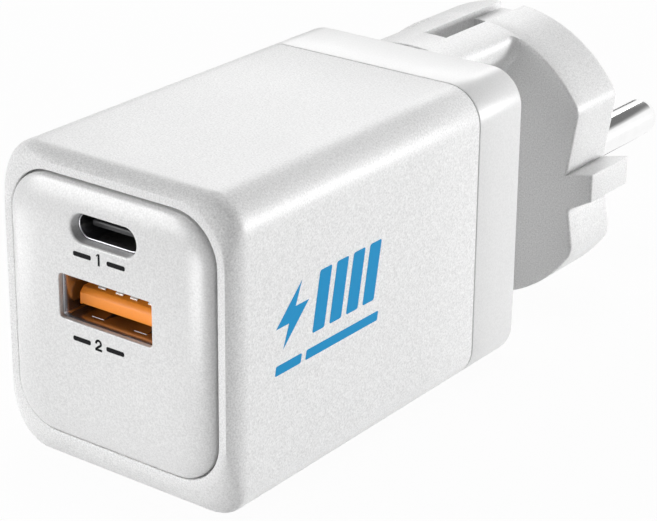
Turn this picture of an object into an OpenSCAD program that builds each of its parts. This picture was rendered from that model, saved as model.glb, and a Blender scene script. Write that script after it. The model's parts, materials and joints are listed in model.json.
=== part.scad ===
// Plug-in USB wall charger with a fixed round two-pin plug.
// The pins point along +Y, +Z is up, and the origin is the centre of the plug's pin face.

/* [Body] */
// Width of the body, side to side
body_width = 32.5; // [32:0.1:40]
// Length of the sleeve, from its front rim to the parting line
shell_length = 44.7; // [44:0.1:60]
// Length of the rear cap, from the parting line to its back
cap_length = 9.1; // [8:0.1:14]
// Radius of the body's four long edges
body_corner_r = 4.4; // [3.5:0.1:6]
// Depth of the rounding between the flat ring round the panel and the sleeve's sides
front_round = 2.5; // [1:0.1:2.6]
// Turn at which that rounding leaves the flat ring in a crease
front_crease = 38; // [0:1:45]
// Rounding of the cap's rear edge
rear_round = 0.6; // [0.3:0.1:1.2]
// Thickness of the sleeve's side walls
shell_wall = 1.6; // [1.2:0.1:1.9]
// Thickness of the sleeve's front wall
front_wall = 2.7; // [2.6:0.1:4]
// Thickness of the cap's back wall
cap_wall = 1.8; // [1.2:0.1:3]
// Thickness of the lip on the cap that enters the sleeve
lip_wall = 0.9; // [0.6:0.1:1.2]
// Length of that lip
lip_length = 2.5; // [1.5:0.1:4]

/* [Port panel] */
// Distance from the panel to the body's side
rim_side = 2.2; // [1.8:0.1:3]
// Distance from the panel to the body's top
rim_top = 2.15; // [1.8:0.05:3]
// Distance from the panel to the body's underside
rim_bottom = 4.15; // [3:0.05:5]
// Width of the flat ring of the rim that follows the panel
ring_width = 1; // [0.6:0.1:1.4]
// Radius of the panel's corners
panel_corner_r = 5.25; // [4.8:0.05:7]
// Depth of the recess that the panel sits in
panel_recess = 1.3; // [0.8:0.1:1.6]
// How far the panel's edge stands in front of the rim
panel_edge_proud = 0.15; // [0:0.05:0.4]
// How far the middle of the panel stands in front of the rim
panel_crown = 1.27; // [0.8:0.01:2]
// Width of the panel's rounded border, from its edge to its flat middle
panel_border = 4.5; // [2:0.1:4.6]
// Distance from the panel's top to the middle of the USB-C port
usb_c_drop = 4.75; // [4:0.05:7]
// Distance from the panel's top to the middle of the USB-A port
usb_a_drop = 13.1; // [12:0.05:16]
// Width of the USB-C window
usb_c_window_w = 9.3; // [9.2:0.05:10]
// Height of the USB-C window
usb_c_window_h = 3.45; // [3.4:0.05:4]
// Width of the USB-A window
usb_a_window_w = 12.95; // [12.6:0.05:13.4]
// Height of the USB-A window
usb_a_window_h = 5.15; // [5.1:0.05:5.6]

/* [Receptacles] */
// Length of the USB-A receptacle
usb_a_length = 14; // [13:0.1:15]
// Outside width of the USB-A receptacle's steel shell
usb_a_w = 13.1; // [12.8:0.1:13.5]
// Outside height of that shell
usb_a_h = 5.7; // [5.5:0.1:6]
// Outside width of the USB-C receptacle's steel shell
usb_c_w = 8.94; // [8.9:0.02:9]
// Outside height of that shell
usb_c_h = 3.16; // [3.1:0.02:3.2]
// How far the USB-C shell stands in front of the rim
usb_c_proud = 0.1; // [0:0.05:0.6]
// How far the USB-A shell stands in front of the rim
usb_a_proud = 0.6; // [0.3:0.05:0.8]
// Sheet thickness of the USB-A shell
usb_a_sheet = 0.3; // [0.2:0.05:0.4]
// Sheet thickness of the USB-C shell
usb_c_sheet = 0.25; // [0.2:0.05:0.3]
// Depth of the insulator blocks at the backs of the receptacles
insulator_depth = 2.6; // [2:0.1:3]
// Width of the USB-A tongue
usb_a_tongue_w = 11.1; // [10:0.1:11.4]
// Thickness of the USB-A tongue
usb_a_tongue_t = 1.84; // [1.6:0.02:2]
// Gap between the USB-A tongue and the shell below it
usb_a_tongue_gap = 0.95; // [0.6:0.05:1.2]
// Depth of the USB-A tongue's tip behind the shell's front edge
usb_a_tongue_setback = 1.7; // [0.5:0.1:2.4]
// Width of the USB-C tongue
usb_c_tongue_w = 6.69; // [6:0.01:7]
// Thickness of the USB-C tongue
usb_c_tongue_t = 0.7; // [0.6:0.05:0.9]
// Depth of the USB-C tongue's tip behind the shell's front edge
usb_c_tongue_setback = 1; // [0.5:0.1:2]
// Thickness of the contact strips in both receptacles
usb_contact_t = 0.12; // [0.08:0.01:0.2]
// Contacts on each side of the USB-C tongue
usb_c_pins = 12; // [6:1:12]
// Distance between neighbouring USB-C contacts
usb_c_pitch = 0.5; // [0.45:0.05:0.5]
// Width of the USB-C contacts
usb_c_contact_w = 0.26; // [0.2:0.02:0.3]
// Width of the USB-A contacts
usb_a_contact_w = 1; // [0.8:0.1:1.2]
// Distance of the two inner USB-A contacts from the middle
usb_a_contact_inner = 1; // [0.8:0.1:1.2]
// Distance of the two outer USB-A contacts from the middle
usb_a_contact_outer = 3.5; // [3:0.1:4]
// Width of the two grounding springs in the USB-A shell
spring_w = 1.7; // [1.2:0.1:2.2]
// Distance of those springs from the middle
spring_x = 3; // [2:0.1:4]
// Height of those springs over the shell's floor
spring_t = 0.35; // [0.2:0.05:0.5]

/* [Plug] */
// Diameter of the plug disc, and height of the body that it is flush with
disc_diameter = 36.6; // [36:0.1:44]
// Depth of the plug disc
disc_depth = 9.8; // [9.5:0.1:14]
// Rounding of the disc's edge at the pin face
disc_front_round = 0.9; // [0.3:0.1:1.5]
// Rounding of the disc's edge at the neck
disc_back_round = 0.5; // [0.2:0.1:1]
// Length of the neck between the cap and the disc
neck_length = 13.9; // [10:0.1:18]
// Half the width of the neck at its waist
neck_waist = 4.2; // [3.8:0.1:5]
// Half the width of the neck at its top and bottom lobes
neck_lobe = 6.15; // [5.6:0.05:7]
// Radius of the lobes' rounded flanks
neck_lobe_r = 2.3; // [1.8:0.1:2.6]
// Depth of the lobes' widest place below the top of the neck
neck_lobe_drop = 2.3; // [2:0.1:3]
// Lean of the lobes' undersides
neck_lean = 42; // [30:1:55]
// Diameter of the mains pins
pin_diameter = 4.8; // [4:0.1:5]
// Distance between the pins' axes
pin_spacing = 19; // [18:0.1:20]
// Length of the pins in front of the pin face
pin_length = 19; // [17:0.5:20]
// Rounding of the pins' tips
pin_tip_round = 2.1; // [0.5:0.1:2.2]
// Depth of the pins' root inside the disc
pin_root = 6; // [5:0.1:6.3]
// Diameter of the pins' root, behind their shoulder on the pin face
pin_root_d = 4.4; // [3.4:0.1:4.6]
// Depth of the shallow ring sunk in the pin face round each pin
pin_ring_depth = 0.3; // [0.2:0.05:0.5]
// Diameter of the riveted tail behind each pin
rivet_diameter = 3; // [2.4:0.1:3.4]
// Diameter of the tail's rivet head
rivet_head_d = 4.2; // [3.6:0.1:5]
// Thickness of the rivet head
rivet_head_t = 0.7; // [0.5:0.1:0.9]
// Height above the disc's middle at which its outline turns in to the waist
waist_half_h = 10.2; // [8:0.1:11]
// Radius of that turn
waist_round = 2.7; // [1.5:0.1:4]
// Lean of the waist's flat sides
waist_lean = 9; // [4:0.5:14]
// Height of the guide rib in the waist
rib_h = 3.74; // [3:0.02:4.5]
// How far the rib's face lies inside the disc's side
rib_inset = 0.2; // [0:0.1:0.6]
// How far the rib ends behind the pin face
rib_setback = 0.9; // [0.5:0.1:2]
// Width of the clip groove at the top and the bottom of the plug
groove_w = 3.4; // [2.5:0.1:4]
// Depth of the groove's shallow stretch, on the disc
groove_shallow = 0.9; // [0.5:0.1:1.3]
// Depth of the groove's deep stretch, mostly on the neck
groove_deep = 2.2; // [1.6:0.1:3]
// Distance from the pin face to the deep stretch
groove_deep_start = 10.2; // [9:0.1:11]
// Distance from the pin face to the groove's end
groove_end = 18.3; // [14:0.1:20]
// Width of the spigot that holds the plug in the cap
spigot_w = 8; // [7.4:0.1:9]
// Height of that spigot
spigot_h = 24; // [16:0.5:26]
// Thickness of the snap hooks behind the cap's wall
hook_t = 1.4; // [1:0.1:1.8]
// How far the snap hooks reach over the cap's wall
hook_reach = 0.8; // [0.4:0.1:1.2]

/* [Contact strips] */
// Thickness of the brass strips
strip_t = 0.8; // [0.5:0.1:1]
// Width of the brass strips
strip_w = 6; // [5.4:0.1:7]
// Distance of each strip from the middle of the neck
strip_offset = 2.4; // [1.8:0.1:2.6]
// Width of the strips' legs that stand on the main board
strip_leg_w = 2; // [1.5:0.1:2.4]

/* [Boards] */
// Thickness of both circuit boards
board_t = 1.2; // [1:0.1:1.6]
// Space between the main board and the sleeve's floor
underboard_space = 3.5; // [2.6:0.1:4.5]
// Width of the port board
port_board_w = 22; // [18:0.5:24]
// Margin of the port board above the USB-C receptacle
port_board_margin = 1.6; // [1:0.1:2.2]
// Thickness of the board rails in the sleeve
rail_t = 1; // [0.8:0.1:1.4]
// How far the rails reach over the board's edges
rail_hold = 0.9; // [0.5:0.1:1.2]

/* [Transformer] */
// Width kept free beside the transformer for the parts there
side_row_w = 8.2; // [7.6:0.1:9]
// Depth of the ferrite core
core_depth = 10; // [9:0.1:11]
// Height of the ferrite core's two halves together
core_h = 15; // [13:0.1:18]
// Thickness of the core's yokes
core_yoke = 2.6; // [2:0.1:3]
// Thickness of the core's outer legs, as a share of its width
core_leg_share = 0.111; // [0.09:0.001:0.13]
// Diameter of the core's middle post, as a share of its width
core_post_share = 0.367; // [0.33:0.001:0.39]
// Wall of the bobbin
bobbin_wall = 0.6; // [0.5:0.05:0.8]
// Length of the bobbin's flanges, front to rear
bobbin_length = 15.5; // [14.5:0.1:17]
// Depth of the rails that the bobbin stands on
bobbin_rail = 2; // [1.5:0.1:2.2]
// Height of the core above the main board
bobbin_stand = 2; // [1.2:0.1:3]
// Share of the windings' thickness that the primary has
primary_share = 0.545; // [0.4:0.005:0.6]
// Space between the windings and the core's outer legs
winding_space = 0.75; // [0.5:0.05:1]

/* [Power parts] */
// Space between the row of bulk capacitors and the film at its ends
bulk_end_space = 1.15; // [0.8:0.05:1.6]
// Height of the bulk capacitors
bulk_h = 20; // [16:0.5:22]
// Radius of the beads and edges of the capacitor cans
can_bead = 0.4; // [0.3:0.05:0.5]
// Diameter of the output capacitors
output_cap_d = 6.3; // [5:0.1:6.6]
// Space between the output capacitors and the USB-A port above them
output_cap_space = 3.2; // [2:0.1:4]
// Side of the square output inductor
inductor_side = 7; // [5:0.1:7.4]
// Height of the output inductor
inductor_h = 4.5; // [3:0.1:6]
// Thickness of the X capacitor
x_cap_t = 4.6; // [4:0.1:5.2]
// Height of the X capacitor
x_cap_h = 11; // [8:0.1:14]
// Outside diameter of the choke's ring core
choke_d = 7.8; // [7:0.1:8.2]
// Hole of the choke's ring core
choke_hole = 3.8; // [3.4:0.1:4.2]
// Thickness of the choke's ring core
choke_t = 3.2; // [2.6:0.1:3.6]
// Thickness of the choke's two windings round the ring
choke_wire = 0.7; // [0.5:0.05:0.8]
// Width of the gap between those windings
choke_split = 2.6; // [2:0.1:3]
// Diameter of the fuse
fuse_d = 3.4; // [3:0.1:3.8]
// Height of the fuse
fuse_h = 8; // [6:0.1:10]
// Diameter of the inrush thermistor's disc
thermistor_d = 5.4; // [4.6:0.1:5.8]
// Thickness of the thermistor's disc
thermistor_t = 2.4; // [2:0.1:3]
// Diameter of the Y capacitor's disc
y_cap_d = 6.8; // [6:0.1:7.2]
// Thickness of the Y capacitor's disc
y_cap_t = 2.8; // [2:0.1:3]
// Diameter of the leads of the parts that stand on the board
lead_d = 0.6; // [0.5:0.05:0.8]
// Height of the disc parts over the board, on their leads
lead_h = 1; // [0.5:0.1:1.5]
// Width, length and height of the optocoupler
optocoupler_size = [4.6, 6.5, 3.4];
// Width, length and height of the bridge rectifier
bridge_size = [8, 6.5, 1.5];
// Width, length and height of the synchronous rectifier
sync_size = [6, 5, 1];
// Width, length and height of the USB controller
controller_size = [4, 4, 0.9];
// Width of the gallium nitride switch, along the board's edge
switch_w = 7; // [6:0.1:8]
// Height of that switch's package
switch_h = 9; // [7:0.1:12]
// Thickness of that switch's package
switch_t = 1.5; // [1.2:0.1:1.8]
// Distance between that switch's three leads
switch_pitch = 2.3; // [2:0.1:2.6]
// Thickness of the pad between the switch and the heat spreader
pad_t = 0.8; // [0.5:0.1:1.2]
// Thickness of the aluminium heat spreader
spreader_t = 0.6; // [0.4:0.05:0.8]
// Thickness of the insulation sheet inside the spreader
insulation_t = 0.3; // [0.2:0.05:0.4]

/* [Fits] */
// Gap round the panel in its recess
panel_clearance = 0.25; // [0.1:0.05:0.3]
// Gap between the cap's lip and the sleeve
lip_clearance = 0.1; // [0.05:0.05:0.2]
// Gap round the plug's spigot in the cap
spigot_clearance = 0.1; // [0.05:0.05:0.2]
// Gap round the pins and strips in the plug body
insert_clearance = 0.05; // [0.02:0.01:0.1]
// Gap between a receptacle's shell and the sleeve's windows
window_clearance = 0.25; // [0.15:0.05:0.3]
// Gap between the main board and its rails
board_clearance = 0.15; // [0.1:0.05:0.2]
// Gap between the heat spreader and the sleeve
spreader_clearance = 0.2; // [0.1:0.05:0.3]
// Gap between neighbouring parts on the board
part_gap = 0.4; // [0.3:0.05:0.5]
// Gap between a hole in a board or core and what passes through it
hole_clearance = 0.1; // [0.05:0.05:0.15]

/* [Hidden] */

arc_steps = 6;
slice_t = 0.01;
cut = 1;
curve_fn = 64;
hull_fn = 32;

body_height = disc_diameter;
panel_width = body_width - 2 * rim_side;
panel_height = body_height - rim_top - rim_bottom;
panel_rise = (rim_bottom - rim_top) / 2;
disc_back_y = -disc_depth;
cap_back_y = disc_back_y - neck_length;
parting_y = cap_back_y - cap_length;
rim_y = parting_y - shell_length;
cap_inner_y = cap_back_y - cap_wall;
front_wall_back_y = rim_y + front_wall;
panel_seat_y = rim_y + panel_recess;
disc_r = disc_diameter / 2;
pin_r = pin_diameter / 2;

inner_w = body_width - 2 * shell_wall;
inner_h = body_height - 2 * shell_wall;
inner_r = body_corner_r - shell_wall;
floor_z = -inner_h / 2;
ceiling_z = inner_h / 2;
usb_c_z = body_height / 2 - rim_top - usb_c_drop;
usb_a_z = body_height / 2 - rim_top - usb_a_drop;

lip_outer_w = inner_w - 2 * lip_clearance;
lip_outer_h = inner_h - 2 * lip_clearance;
lip_inner_w = lip_outer_w - 2 * lip_wall;
lip_inner_h = lip_outer_h - 2 * lip_wall;
lip_front_y = parting_y - lip_length;

board_w = lip_inner_w - 2 * board_clearance;
part_side_x = board_w / 2 - rail_hold - part_gap / 2;
board_under_z = floor_z + underboard_space;
board_top_z = board_under_z + board_t;
board_front_y = front_wall_back_y + part_gap;
hook_front_y = cap_inner_y - spigot_clearance - hook_t;
board_rear_y = hook_front_y - part_gap;
rail_end_y = lip_front_y - part_gap;
rail_top_z = board_top_z + board_clearance + rail_t;

usb_a_inner_w = usb_a_w - 2 * usb_a_sheet;
usb_a_inner_h = usb_a_h - 2 * usb_a_sheet;
usb_a_tongue_z = usb_a_z - usb_a_inner_h / 2 + usb_a_tongue_gap;
usb_a_tongue_top_z = usb_a_tongue_z + usb_a_tongue_t;
usb_a_front_y = rim_y - usb_a_proud;
usb_c_front_y = rim_y - usb_c_proud;
port_board_front_y = usb_a_front_y + usb_a_length;
usb_a_block_y = port_board_front_y - insulator_depth;
port_board_back_y = port_board_front_y + board_t;
port_board_top_z = usb_c_z + usb_c_h / 2 + port_board_margin;

strip_leg_y = board_rear_y - strip_leg_w;
strip_cross_y = -pin_root - strip_t;

spreader_front_y = port_board_back_y + part_gap;
spreader_w = inner_w - 2 * spreader_clearance;
spreader_top_z = ceiling_z - spreader_clearance;
insulation_w = spreader_w - 2 * spreader_t;
insulation_top_z = spreader_top_z - spreader_t;
nest_w = insulation_w - 2 * insulation_t;
spreader_r = inner_r - spreader_clearance;

core_w = board_w - 2 * part_gap - side_row_w;
core_leg = core_leg_share * core_w;
core_post_d = core_post_share * core_w;
transformer_y = port_board_back_y + part_gap + bobbin_length / 2;
transformer_x = -board_w / 2 + core_w / 2 + part_gap;
core_z = board_top_z + bobbin_stand;
window_h = core_h - 2 * core_yoke;
bobbin_r = core_post_d / 2 + hole_clearance + bobbin_wall;
winding_r = bobbin_r + insert_clearance;
windings_t = core_w / 2 - core_leg - winding_r - winding_space;
primary_t = primary_share * windings_t;
secondary_t = windings_t - primary_t;
bulk_d = (nest_w - 2 * bulk_end_space - 2 * part_gap) / 3;
bulk_y = transformer_y + bobbin_length / 2 + part_gap + bulk_d / 2;
bulk_pitch = bulk_d + part_gap;
entry_y = bulk_y + bulk_d / 2 + part_gap;
side_x = transformer_x + core_w / 2 + part_gap;
choke_r = choke_d / 2 + choke_wire;
x_cap_w = 2 * (part_side_x - choke_r) - fuse_d - 3 * part_gap;
x_cap_x = x_cap_w / 2 - part_side_x;
choke_x = x_cap_x + x_cap_w / 2 + part_gap + choke_r;
choke_y = entry_y + choke_t / 2 + choke_wire;
choke_z = board_top_z + choke_r;
fuse_x = choke_x + choke_r + part_gap + fuse_d / 2;
switch_y = port_board_back_y + 2 * part_gap + optocoupler_size[1] + switch_w / 2;
thermistor_y = entry_y + x_cap_t + part_gap + thermistor_t / 2;
switch_x = nest_w / 2 - pad_t - switch_t;
output_cap_h = usb_a_z - usb_a_h / 2 - output_cap_space - board_top_z;
front_row_y = (board_front_y + port_board_front_y) / 2;
output_cap_x = output_cap_d / 2 - part_side_x;

// Points of an arc about c, from angle a to angle b
function arc(c, r, a, b) = [
    for (i = [0 : arc_steps])
        let (t = a + (b - a) * i / arc_steps)
            [c[0] + r * cos(t), c[1] + r * sin(t)]
];

// Outline drawn in X and Z, extruded from y0 to y1
module along_y(y0, y1) {
    translate([0, y1, 0])
        rotate([90, 0, 0])
            linear_extrude(y1 - y0)
                children();
}

// Profile of radius and Y, turned about the Y axis
module turned() {
    rotate([-90, 0, 0])
        rotate_extrude($fn = curve_fn)
            children();
}

module cylinder_y(r, y0, y1) {
    translate([0, y0, 0])
        rotate([-90, 0, 0])
            cylinder(r = r, h = y1 - y0, $fn = curve_fn);
}

// Rectangle with round corners
module rounded_rect(w, h, r) {
    polygon(concat(
        arc([w / 2 - r, h / 2 - r], r, 0, 90),
        arc([r - w / 2, h / 2 - r], r, 90, 180),
        arc([r - w / 2, r - h / 2], r, 180, 270),
        arc([w / 2 - r, r - h / 2], r, 270, 360)
    ));
}

// Oval window with half-round ends
module oval(w, h) {
    square([w - h, h], center = true);
    for (side = [-1, 1])
        translate([side * (w - h) / 2, 0])
            circle(d = h, $fn = curve_fn);
}

// One thin slice of a rounded body, drawn in by inset
module slice(w, h, r, inset, y) {
    for (sx = [-1, 1], sz = [-1, 1])
        translate([sx * (w / 2 - r), y, sz * (h / 2 - r)])
            rotate([90, 0, 0])
                cylinder(r = r - inset, h = slice_t, center = true, $fn = hull_fn);
}

module body_slice(inset, y) {
    slice(body_width, body_height, body_corner_r, inset, y);
}

// Outline part of the way from the flat ring (share 0) to the sleeve's full section (share 1)
module rim_slice(share, y) {
    function between(ring, body) = ring + (body - ring) * share;
    r = between(panel_corner_r + ring_width, body_corner_r);
    w = between(panel_width + 2 * ring_width, body_width);
    h = between(panel_height + 2 * ring_width, body_height);
    translate([0, 0, between(panel_rise, 0)])
        slice(w, h, r, 0, y);
}

// Height of the panel's rounded border over its edge, at a distance from the edge, as a share of the crown
function border_rise(inset) = sqrt(1 - pow(1 - inset / panel_border, 2));

module receptacle_windows(grow) {
    translate([0, usb_c_z])
        oval(usb_c_w + 2 * grow, usb_c_h + 2 * grow);
    translate([0, usb_a_z])
        square([usb_a_w + 2 * grow, usb_a_h + 2 * grow], center = true);
}

module main_shell() {
    color("white") {
        difference() {
            hull() {
                for (i = [0 : arc_steps]) {
                    t = front_crease + (90 - front_crease) * i / arc_steps;
                    rim_slice((sin(t) - sin(front_crease)) / (1 - sin(front_crease)),
                        rim_y + slice_t / 2 + front_round * (1 - cos(t) / cos(front_crease)));
                }
                body_slice(0, parting_y - slice_t / 2);
            }
            along_y(front_wall_back_y, parting_y + cut)
                rounded_rect(inner_w, inner_h, inner_r);
            translate([0, 0, panel_rise])
                along_y(rim_y - cut, panel_seat_y)
                    rounded_rect(panel_width + 2 * panel_clearance, panel_height + 2 * panel_clearance,
                        panel_corner_r + panel_clearance);
            along_y(rim_y, front_wall_back_y + cut)
                receptacle_windows(window_clearance);
        }
        board_rails();
    }
}

// Two grooved rails in the sleeve that hold the main board's edges
module board_rails() {
    for (side = [-1, 1], z = [board_under_z - rail_t, board_top_z + board_clearance])
        translate([side * (board_w / 2 - rail_hold), front_wall_back_y - shell_wall / 2, z])
            mirror([side < 0 ? 1 : 0, 0, 0])
                cube([inner_w / 2 - board_w / 2 + rail_hold + shell_wall / 2,
                    rail_end_y - front_wall_back_y + shell_wall / 2, rail_t]);
}

module port_panel() {
    color("white")
        difference() {
            translate([0, 0, panel_rise])
                hull() {
                    slice(panel_width, panel_height, panel_corner_r, 0, panel_seat_y - slice_t / 2);
                    for (i = [0 : 2 * arc_steps]) {
                        inset = panel_border * pow(i / (2 * arc_steps), 2);
                        slice(panel_width, panel_height, panel_corner_r, inset,
                            rim_y - panel_edge_proud - (panel_crown - panel_edge_proud) * border_rise(inset));
                    }
                }
            along_y(rim_y - panel_crown - cut, panel_seat_y + cut) {
                translate([0, usb_c_z])
                    oval(usb_c_window_w, usb_c_window_h);
                translate([0, usb_a_z])
                    square([usb_a_window_w, usb_a_window_h], center = true);
            }
            translate([0, 0, usb_a_z])
                along_y(usb_a_front_y - hole_clearance, panel_seat_y + cut)
                    square([usb_a_w + 2 * window_clearance, usb_a_h + 2 * window_clearance], center = true);
        }
}

module spigot_outline(grow) {
    square([spigot_w + 2 * grow, spigot_h + 2 * grow], center = true);
}

module rear_cap() {
    color("white")
        difference() {
            union() {
                hull() {
                    body_slice(0, parting_y + slice_t / 2);
                    for (i = [0 : arc_steps]) {
                        t = 90 * i / arc_steps;
                        body_slice(rear_round * (1 - cos(t)),
                            cap_back_y - slice_t / 2 - rear_round * (1 - sin(t)));
                    }
                }
                along_y(lip_front_y, parting_y + cut)
                    rounded_rect(lip_outer_w, lip_outer_h, inner_r - lip_clearance);
            }
            along_y(lip_front_y - cut, cap_inner_y)
                rounded_rect(lip_inner_w, lip_inner_h, inner_r - lip_clearance - lip_wall);
            along_y(cap_inner_y - cut, cap_back_y + cut)
                spigot_outline(spigot_clearance);
        }
}

// Outline of the neck: a waist between a top and a bottom lobe, inside the disc's circle
module neck_outline() {
    intersection() {
        circle(r = disc_r, $fn = curve_fn);
        union() {
            square([2 * neck_waist, disc_diameter], center = true);
            for (up = [0, 1])
                mirror([0, up])
                    neck_lobes();
        }
    }
}

module neck_lobes() {
    lobe_x = neck_lobe - neck_lobe_r;
    lobe_z = disc_r - neck_lobe_drop;
    turn_x = lobe_x + neck_lobe_r * cos(neck_lean);
    turn_z = lobe_z - neck_lobe_r * sin(neck_lean);
    waist_z = turn_z - (turn_x - neck_waist) / tan(neck_lean);
    for (side = [-1, 1])
        translate([side * lobe_x, lobe_z])
            circle(r = neck_lobe_r, $fn = curve_fn);
    polygon([
        [-lobe_x, disc_r], [lobe_x, disc_r], [turn_x, turn_z], [neck_waist, waist_z],
        [-neck_waist, waist_z], [-turn_x, turn_z]
    ]);
}

// Centre of the turn into the waist, and the waist's side where it meets the rib
function waist_turn() =
    (disc_r - waist_round) * [sqrt(1 - pow(waist_half_h / disc_r, 2)), waist_half_h / disc_r];
function waist_low() = waist_turn() + waist_round * [cos(waist_lean), -sin(waist_lean)];
function waist_root_x() = waist_low()[0] - (waist_low()[1] - rib_h / 2) * tan(waist_lean);

// What the waist removes from one side of the disc, above the rib
module waist_cut() {
    polygon(concat(
        [[disc_r + cut, waist_half_h]],
        arc(waist_turn(), waist_round, asin(waist_half_h / disc_r), -waist_lean),
        [[waist_root_x(), rib_h / 2], [disc_r + cut, rib_h / 2]]
    ));
}

module plug_disc() {
    difference() {
        turned()
            polygon(concat(
                [[0, disc_back_y]],
                arc([disc_r - disc_back_round, disc_back_y + disc_back_round], disc_back_round, -90, 0),
                arc([disc_r - disc_front_round, -disc_front_round], disc_front_round, 0, 90),
                [[0, 0]]
            ));
        along_y(disc_back_y - cut, cut)
            for (side = [0, 1], up = [0, 1])
                mirror([side, 0])
                    mirror([0, up])
                        waist_cut();
        for (side = [0, 1])
            mirror([side, 0, 0]) {
                translate([disc_r - rib_inset, disc_back_y - cut, -rib_h])
                    cube([cut, disc_depth + 2 * cut, 2 * rib_h]);
                translate([waist_root_x(), -rib_setback, -rib_h / 2])
                    cube([disc_r + cut - waist_root_x(), rib_setback + cut, rib_h]);
            }
    }
}

// Space for a pin and its strip in the plug body, or the strip itself where grow is 0
module strip_shape(grow) {
    translate([strip_offset - strip_t / 2 - grow, strip_leg_y, -strip_w / 2 - grow])
        cube([strip_t + 2 * grow, strip_cross_y + strip_t - strip_leg_y + grow, strip_w + 2 * grow]);
    translate([strip_offset - strip_t / 2 - grow, strip_cross_y - grow, -strip_w / 2 - grow])
        cube([pin_spacing / 2 - strip_offset + strip_w / 2 + 2 * grow,
            strip_t + 2 * grow, strip_w + 2 * grow]);
}

module pin_pocket() {
    translate([pin_spacing / 2, 0, 0]) {
        cylinder_y(pin_root_d / 2 + insert_clearance, -pin_root, cut);
        cylinder_y(pin_r + insert_clearance, -pin_ring_depth, cut);
        cylinder_y(rivet_head_d / 2 + insert_clearance, strip_cross_y - rivet_head_t - insert_clearance,
            strip_cross_y);
    }
    strip_shape(insert_clearance);
}

module plug_body() {
    color("white")
        difference() {
            union() {
                plug_disc();
                along_y(cap_back_y, disc_back_y)
                    neck_outline();
                along_y(hook_front_y, cap_back_y)
                    spigot_outline(0);
                along_y(hook_front_y, hook_front_y + hook_t)
                    square([spigot_w, spigot_h + 2 * (spigot_clearance + hook_reach)], center = true);
            }
            for (side = [0, 1])
                mirror([side, 0, 0])
                    pin_pocket();
            for (up = [0, 1])
                mirror([0, 0, up]) {
                    translate([-groove_w / 2, -groove_deep_start, disc_r - groove_shallow])
                        cube([groove_w, groove_deep_start + cut, groove_shallow + cut]);
                    translate([-groove_w / 2, -groove_end, disc_r - groove_deep])
                        cube([groove_w, groove_end - groove_deep_start, groove_deep + cut]);
                }
        }
}

module pin() {
    color("silver")
        translate([pin_spacing / 2, 0, 0]) {
            turned()
                polygon(concat(
                    [[0, -pin_root], [pin_root_d / 2, -pin_root], [pin_root_d / 2, 0], [pin_r, 0]],
                    arc([pin_r - pin_tip_round, pin_length - pin_tip_round], pin_tip_round, 0, 90),
                    [[0, pin_length]]
                ));
            cylinder_y(rivet_diameter / 2, strip_cross_y, -pin_root);
            cylinder_y(rivet_head_d / 2, strip_cross_y - rivet_head_t, strip_cross_y);
        }
}

module pin_left() {
    mirror([1, 0, 0])
        pin();
}

module pin_right() {
    pin();
}

module contact_strip() {
    color("gold")
        difference() {
            union() {
                strip_shape(0);
                translate([strip_offset - strip_t / 2, strip_leg_y, board_top_z])
                    cube([strip_t, strip_leg_w, -board_top_z]);
            }
            translate([pin_spacing / 2, 0, 0])
                cylinder_y(rivet_diameter / 2 + insert_clearance, strip_cross_y - cut, cut);
        }
}

module contact_strip_left() {
    mirror([1, 0, 0])
        contact_strip();
}

module contact_strip_right() {
    contact_strip();
}

module main_board() {
    color("green")
        translate([-board_w / 2, board_front_y, board_under_z])
            cube([board_w, board_rear_y - board_front_y, board_t]);
}

module port_board() {
    color("green")
        translate([-port_board_w / 2, port_board_front_y, board_top_z])
            cube([port_board_w, board_t, port_board_top_z - board_top_z]);
}

module usb_c_shell() {
    color("silver")
        translate([0, 0, usb_c_z])
            along_y(usb_c_front_y, port_board_front_y)
                difference() {
                    oval(usb_c_w, usb_c_h);
                    oval(usb_c_w - 2 * usb_c_sheet, usb_c_h - 2 * usb_c_sheet);
                }
}

module usb_c_tongue() {
    color("dimgray")
        translate([0, 0, usb_c_z]) {
            along_y(port_board_front_y - insulator_depth, port_board_front_y)
                oval(usb_c_w - 2 * (usb_c_sheet + hole_clearance),
                    usb_c_h - 2 * (usb_c_sheet + hole_clearance));
            along_y(usb_c_front_y + usb_c_tongue_setback, port_board_front_y - insulator_depth)
                square([usb_c_tongue_w, usb_c_tongue_t], center = true);
        }
}

module usb_c_contacts() {
    tip_y = usb_c_front_y + usb_c_tongue_setback + usb_c_pitch;
    color("gold")
        for (i = [0 : usb_c_pins - 1], up = [0, 1])
            translate([(i - (usb_c_pins - 1) / 2) * usb_c_pitch - usb_c_contact_w / 2, tip_y,
                usb_c_z + (up == 1 ? usb_c_tongue_t / 2 : -usb_c_tongue_t / 2 - usb_contact_t)])
                cube([usb_c_contact_w, port_board_front_y - insulator_depth - tip_y, usb_contact_t]);
}

module usb_a_shell() {
    color("silver") {
        translate([0, 0, usb_a_z])
            along_y(usb_a_front_y, port_board_front_y)
                difference() {
                    square([usb_a_w, usb_a_h], center = true);
                    square([usb_a_inner_w, usb_a_inner_h], center = true);
                }
        for (side = [-1, 1])
            translate([side * spring_x - spring_w / 2, usb_a_front_y + usb_a_tongue_setback,
                usb_a_z - usb_a_inner_h / 2 - usb_a_sheet / 2])
                cube([spring_w, usb_a_length - insulator_depth - usb_a_tongue_setback - part_gap,
                    spring_t + usb_a_sheet / 2]);
    }
}

// Contact strips on the tongue, or their channel through the insulator block where grow is above 0
module usb_a_contact_strips(grow) {
    strip_y = usb_a_front_y + usb_a_tongue_setback + usb_a_contact_w;
    for (x = [-usb_a_contact_outer, -usb_a_contact_inner, usb_a_contact_inner, usb_a_contact_outer])
        translate([x - usb_a_contact_w / 2 - grow, strip_y, usb_a_tongue_top_z])
            cube([usb_a_contact_w + 2 * grow, port_board_front_y - strip_y, usb_contact_t + grow]);
}

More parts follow.
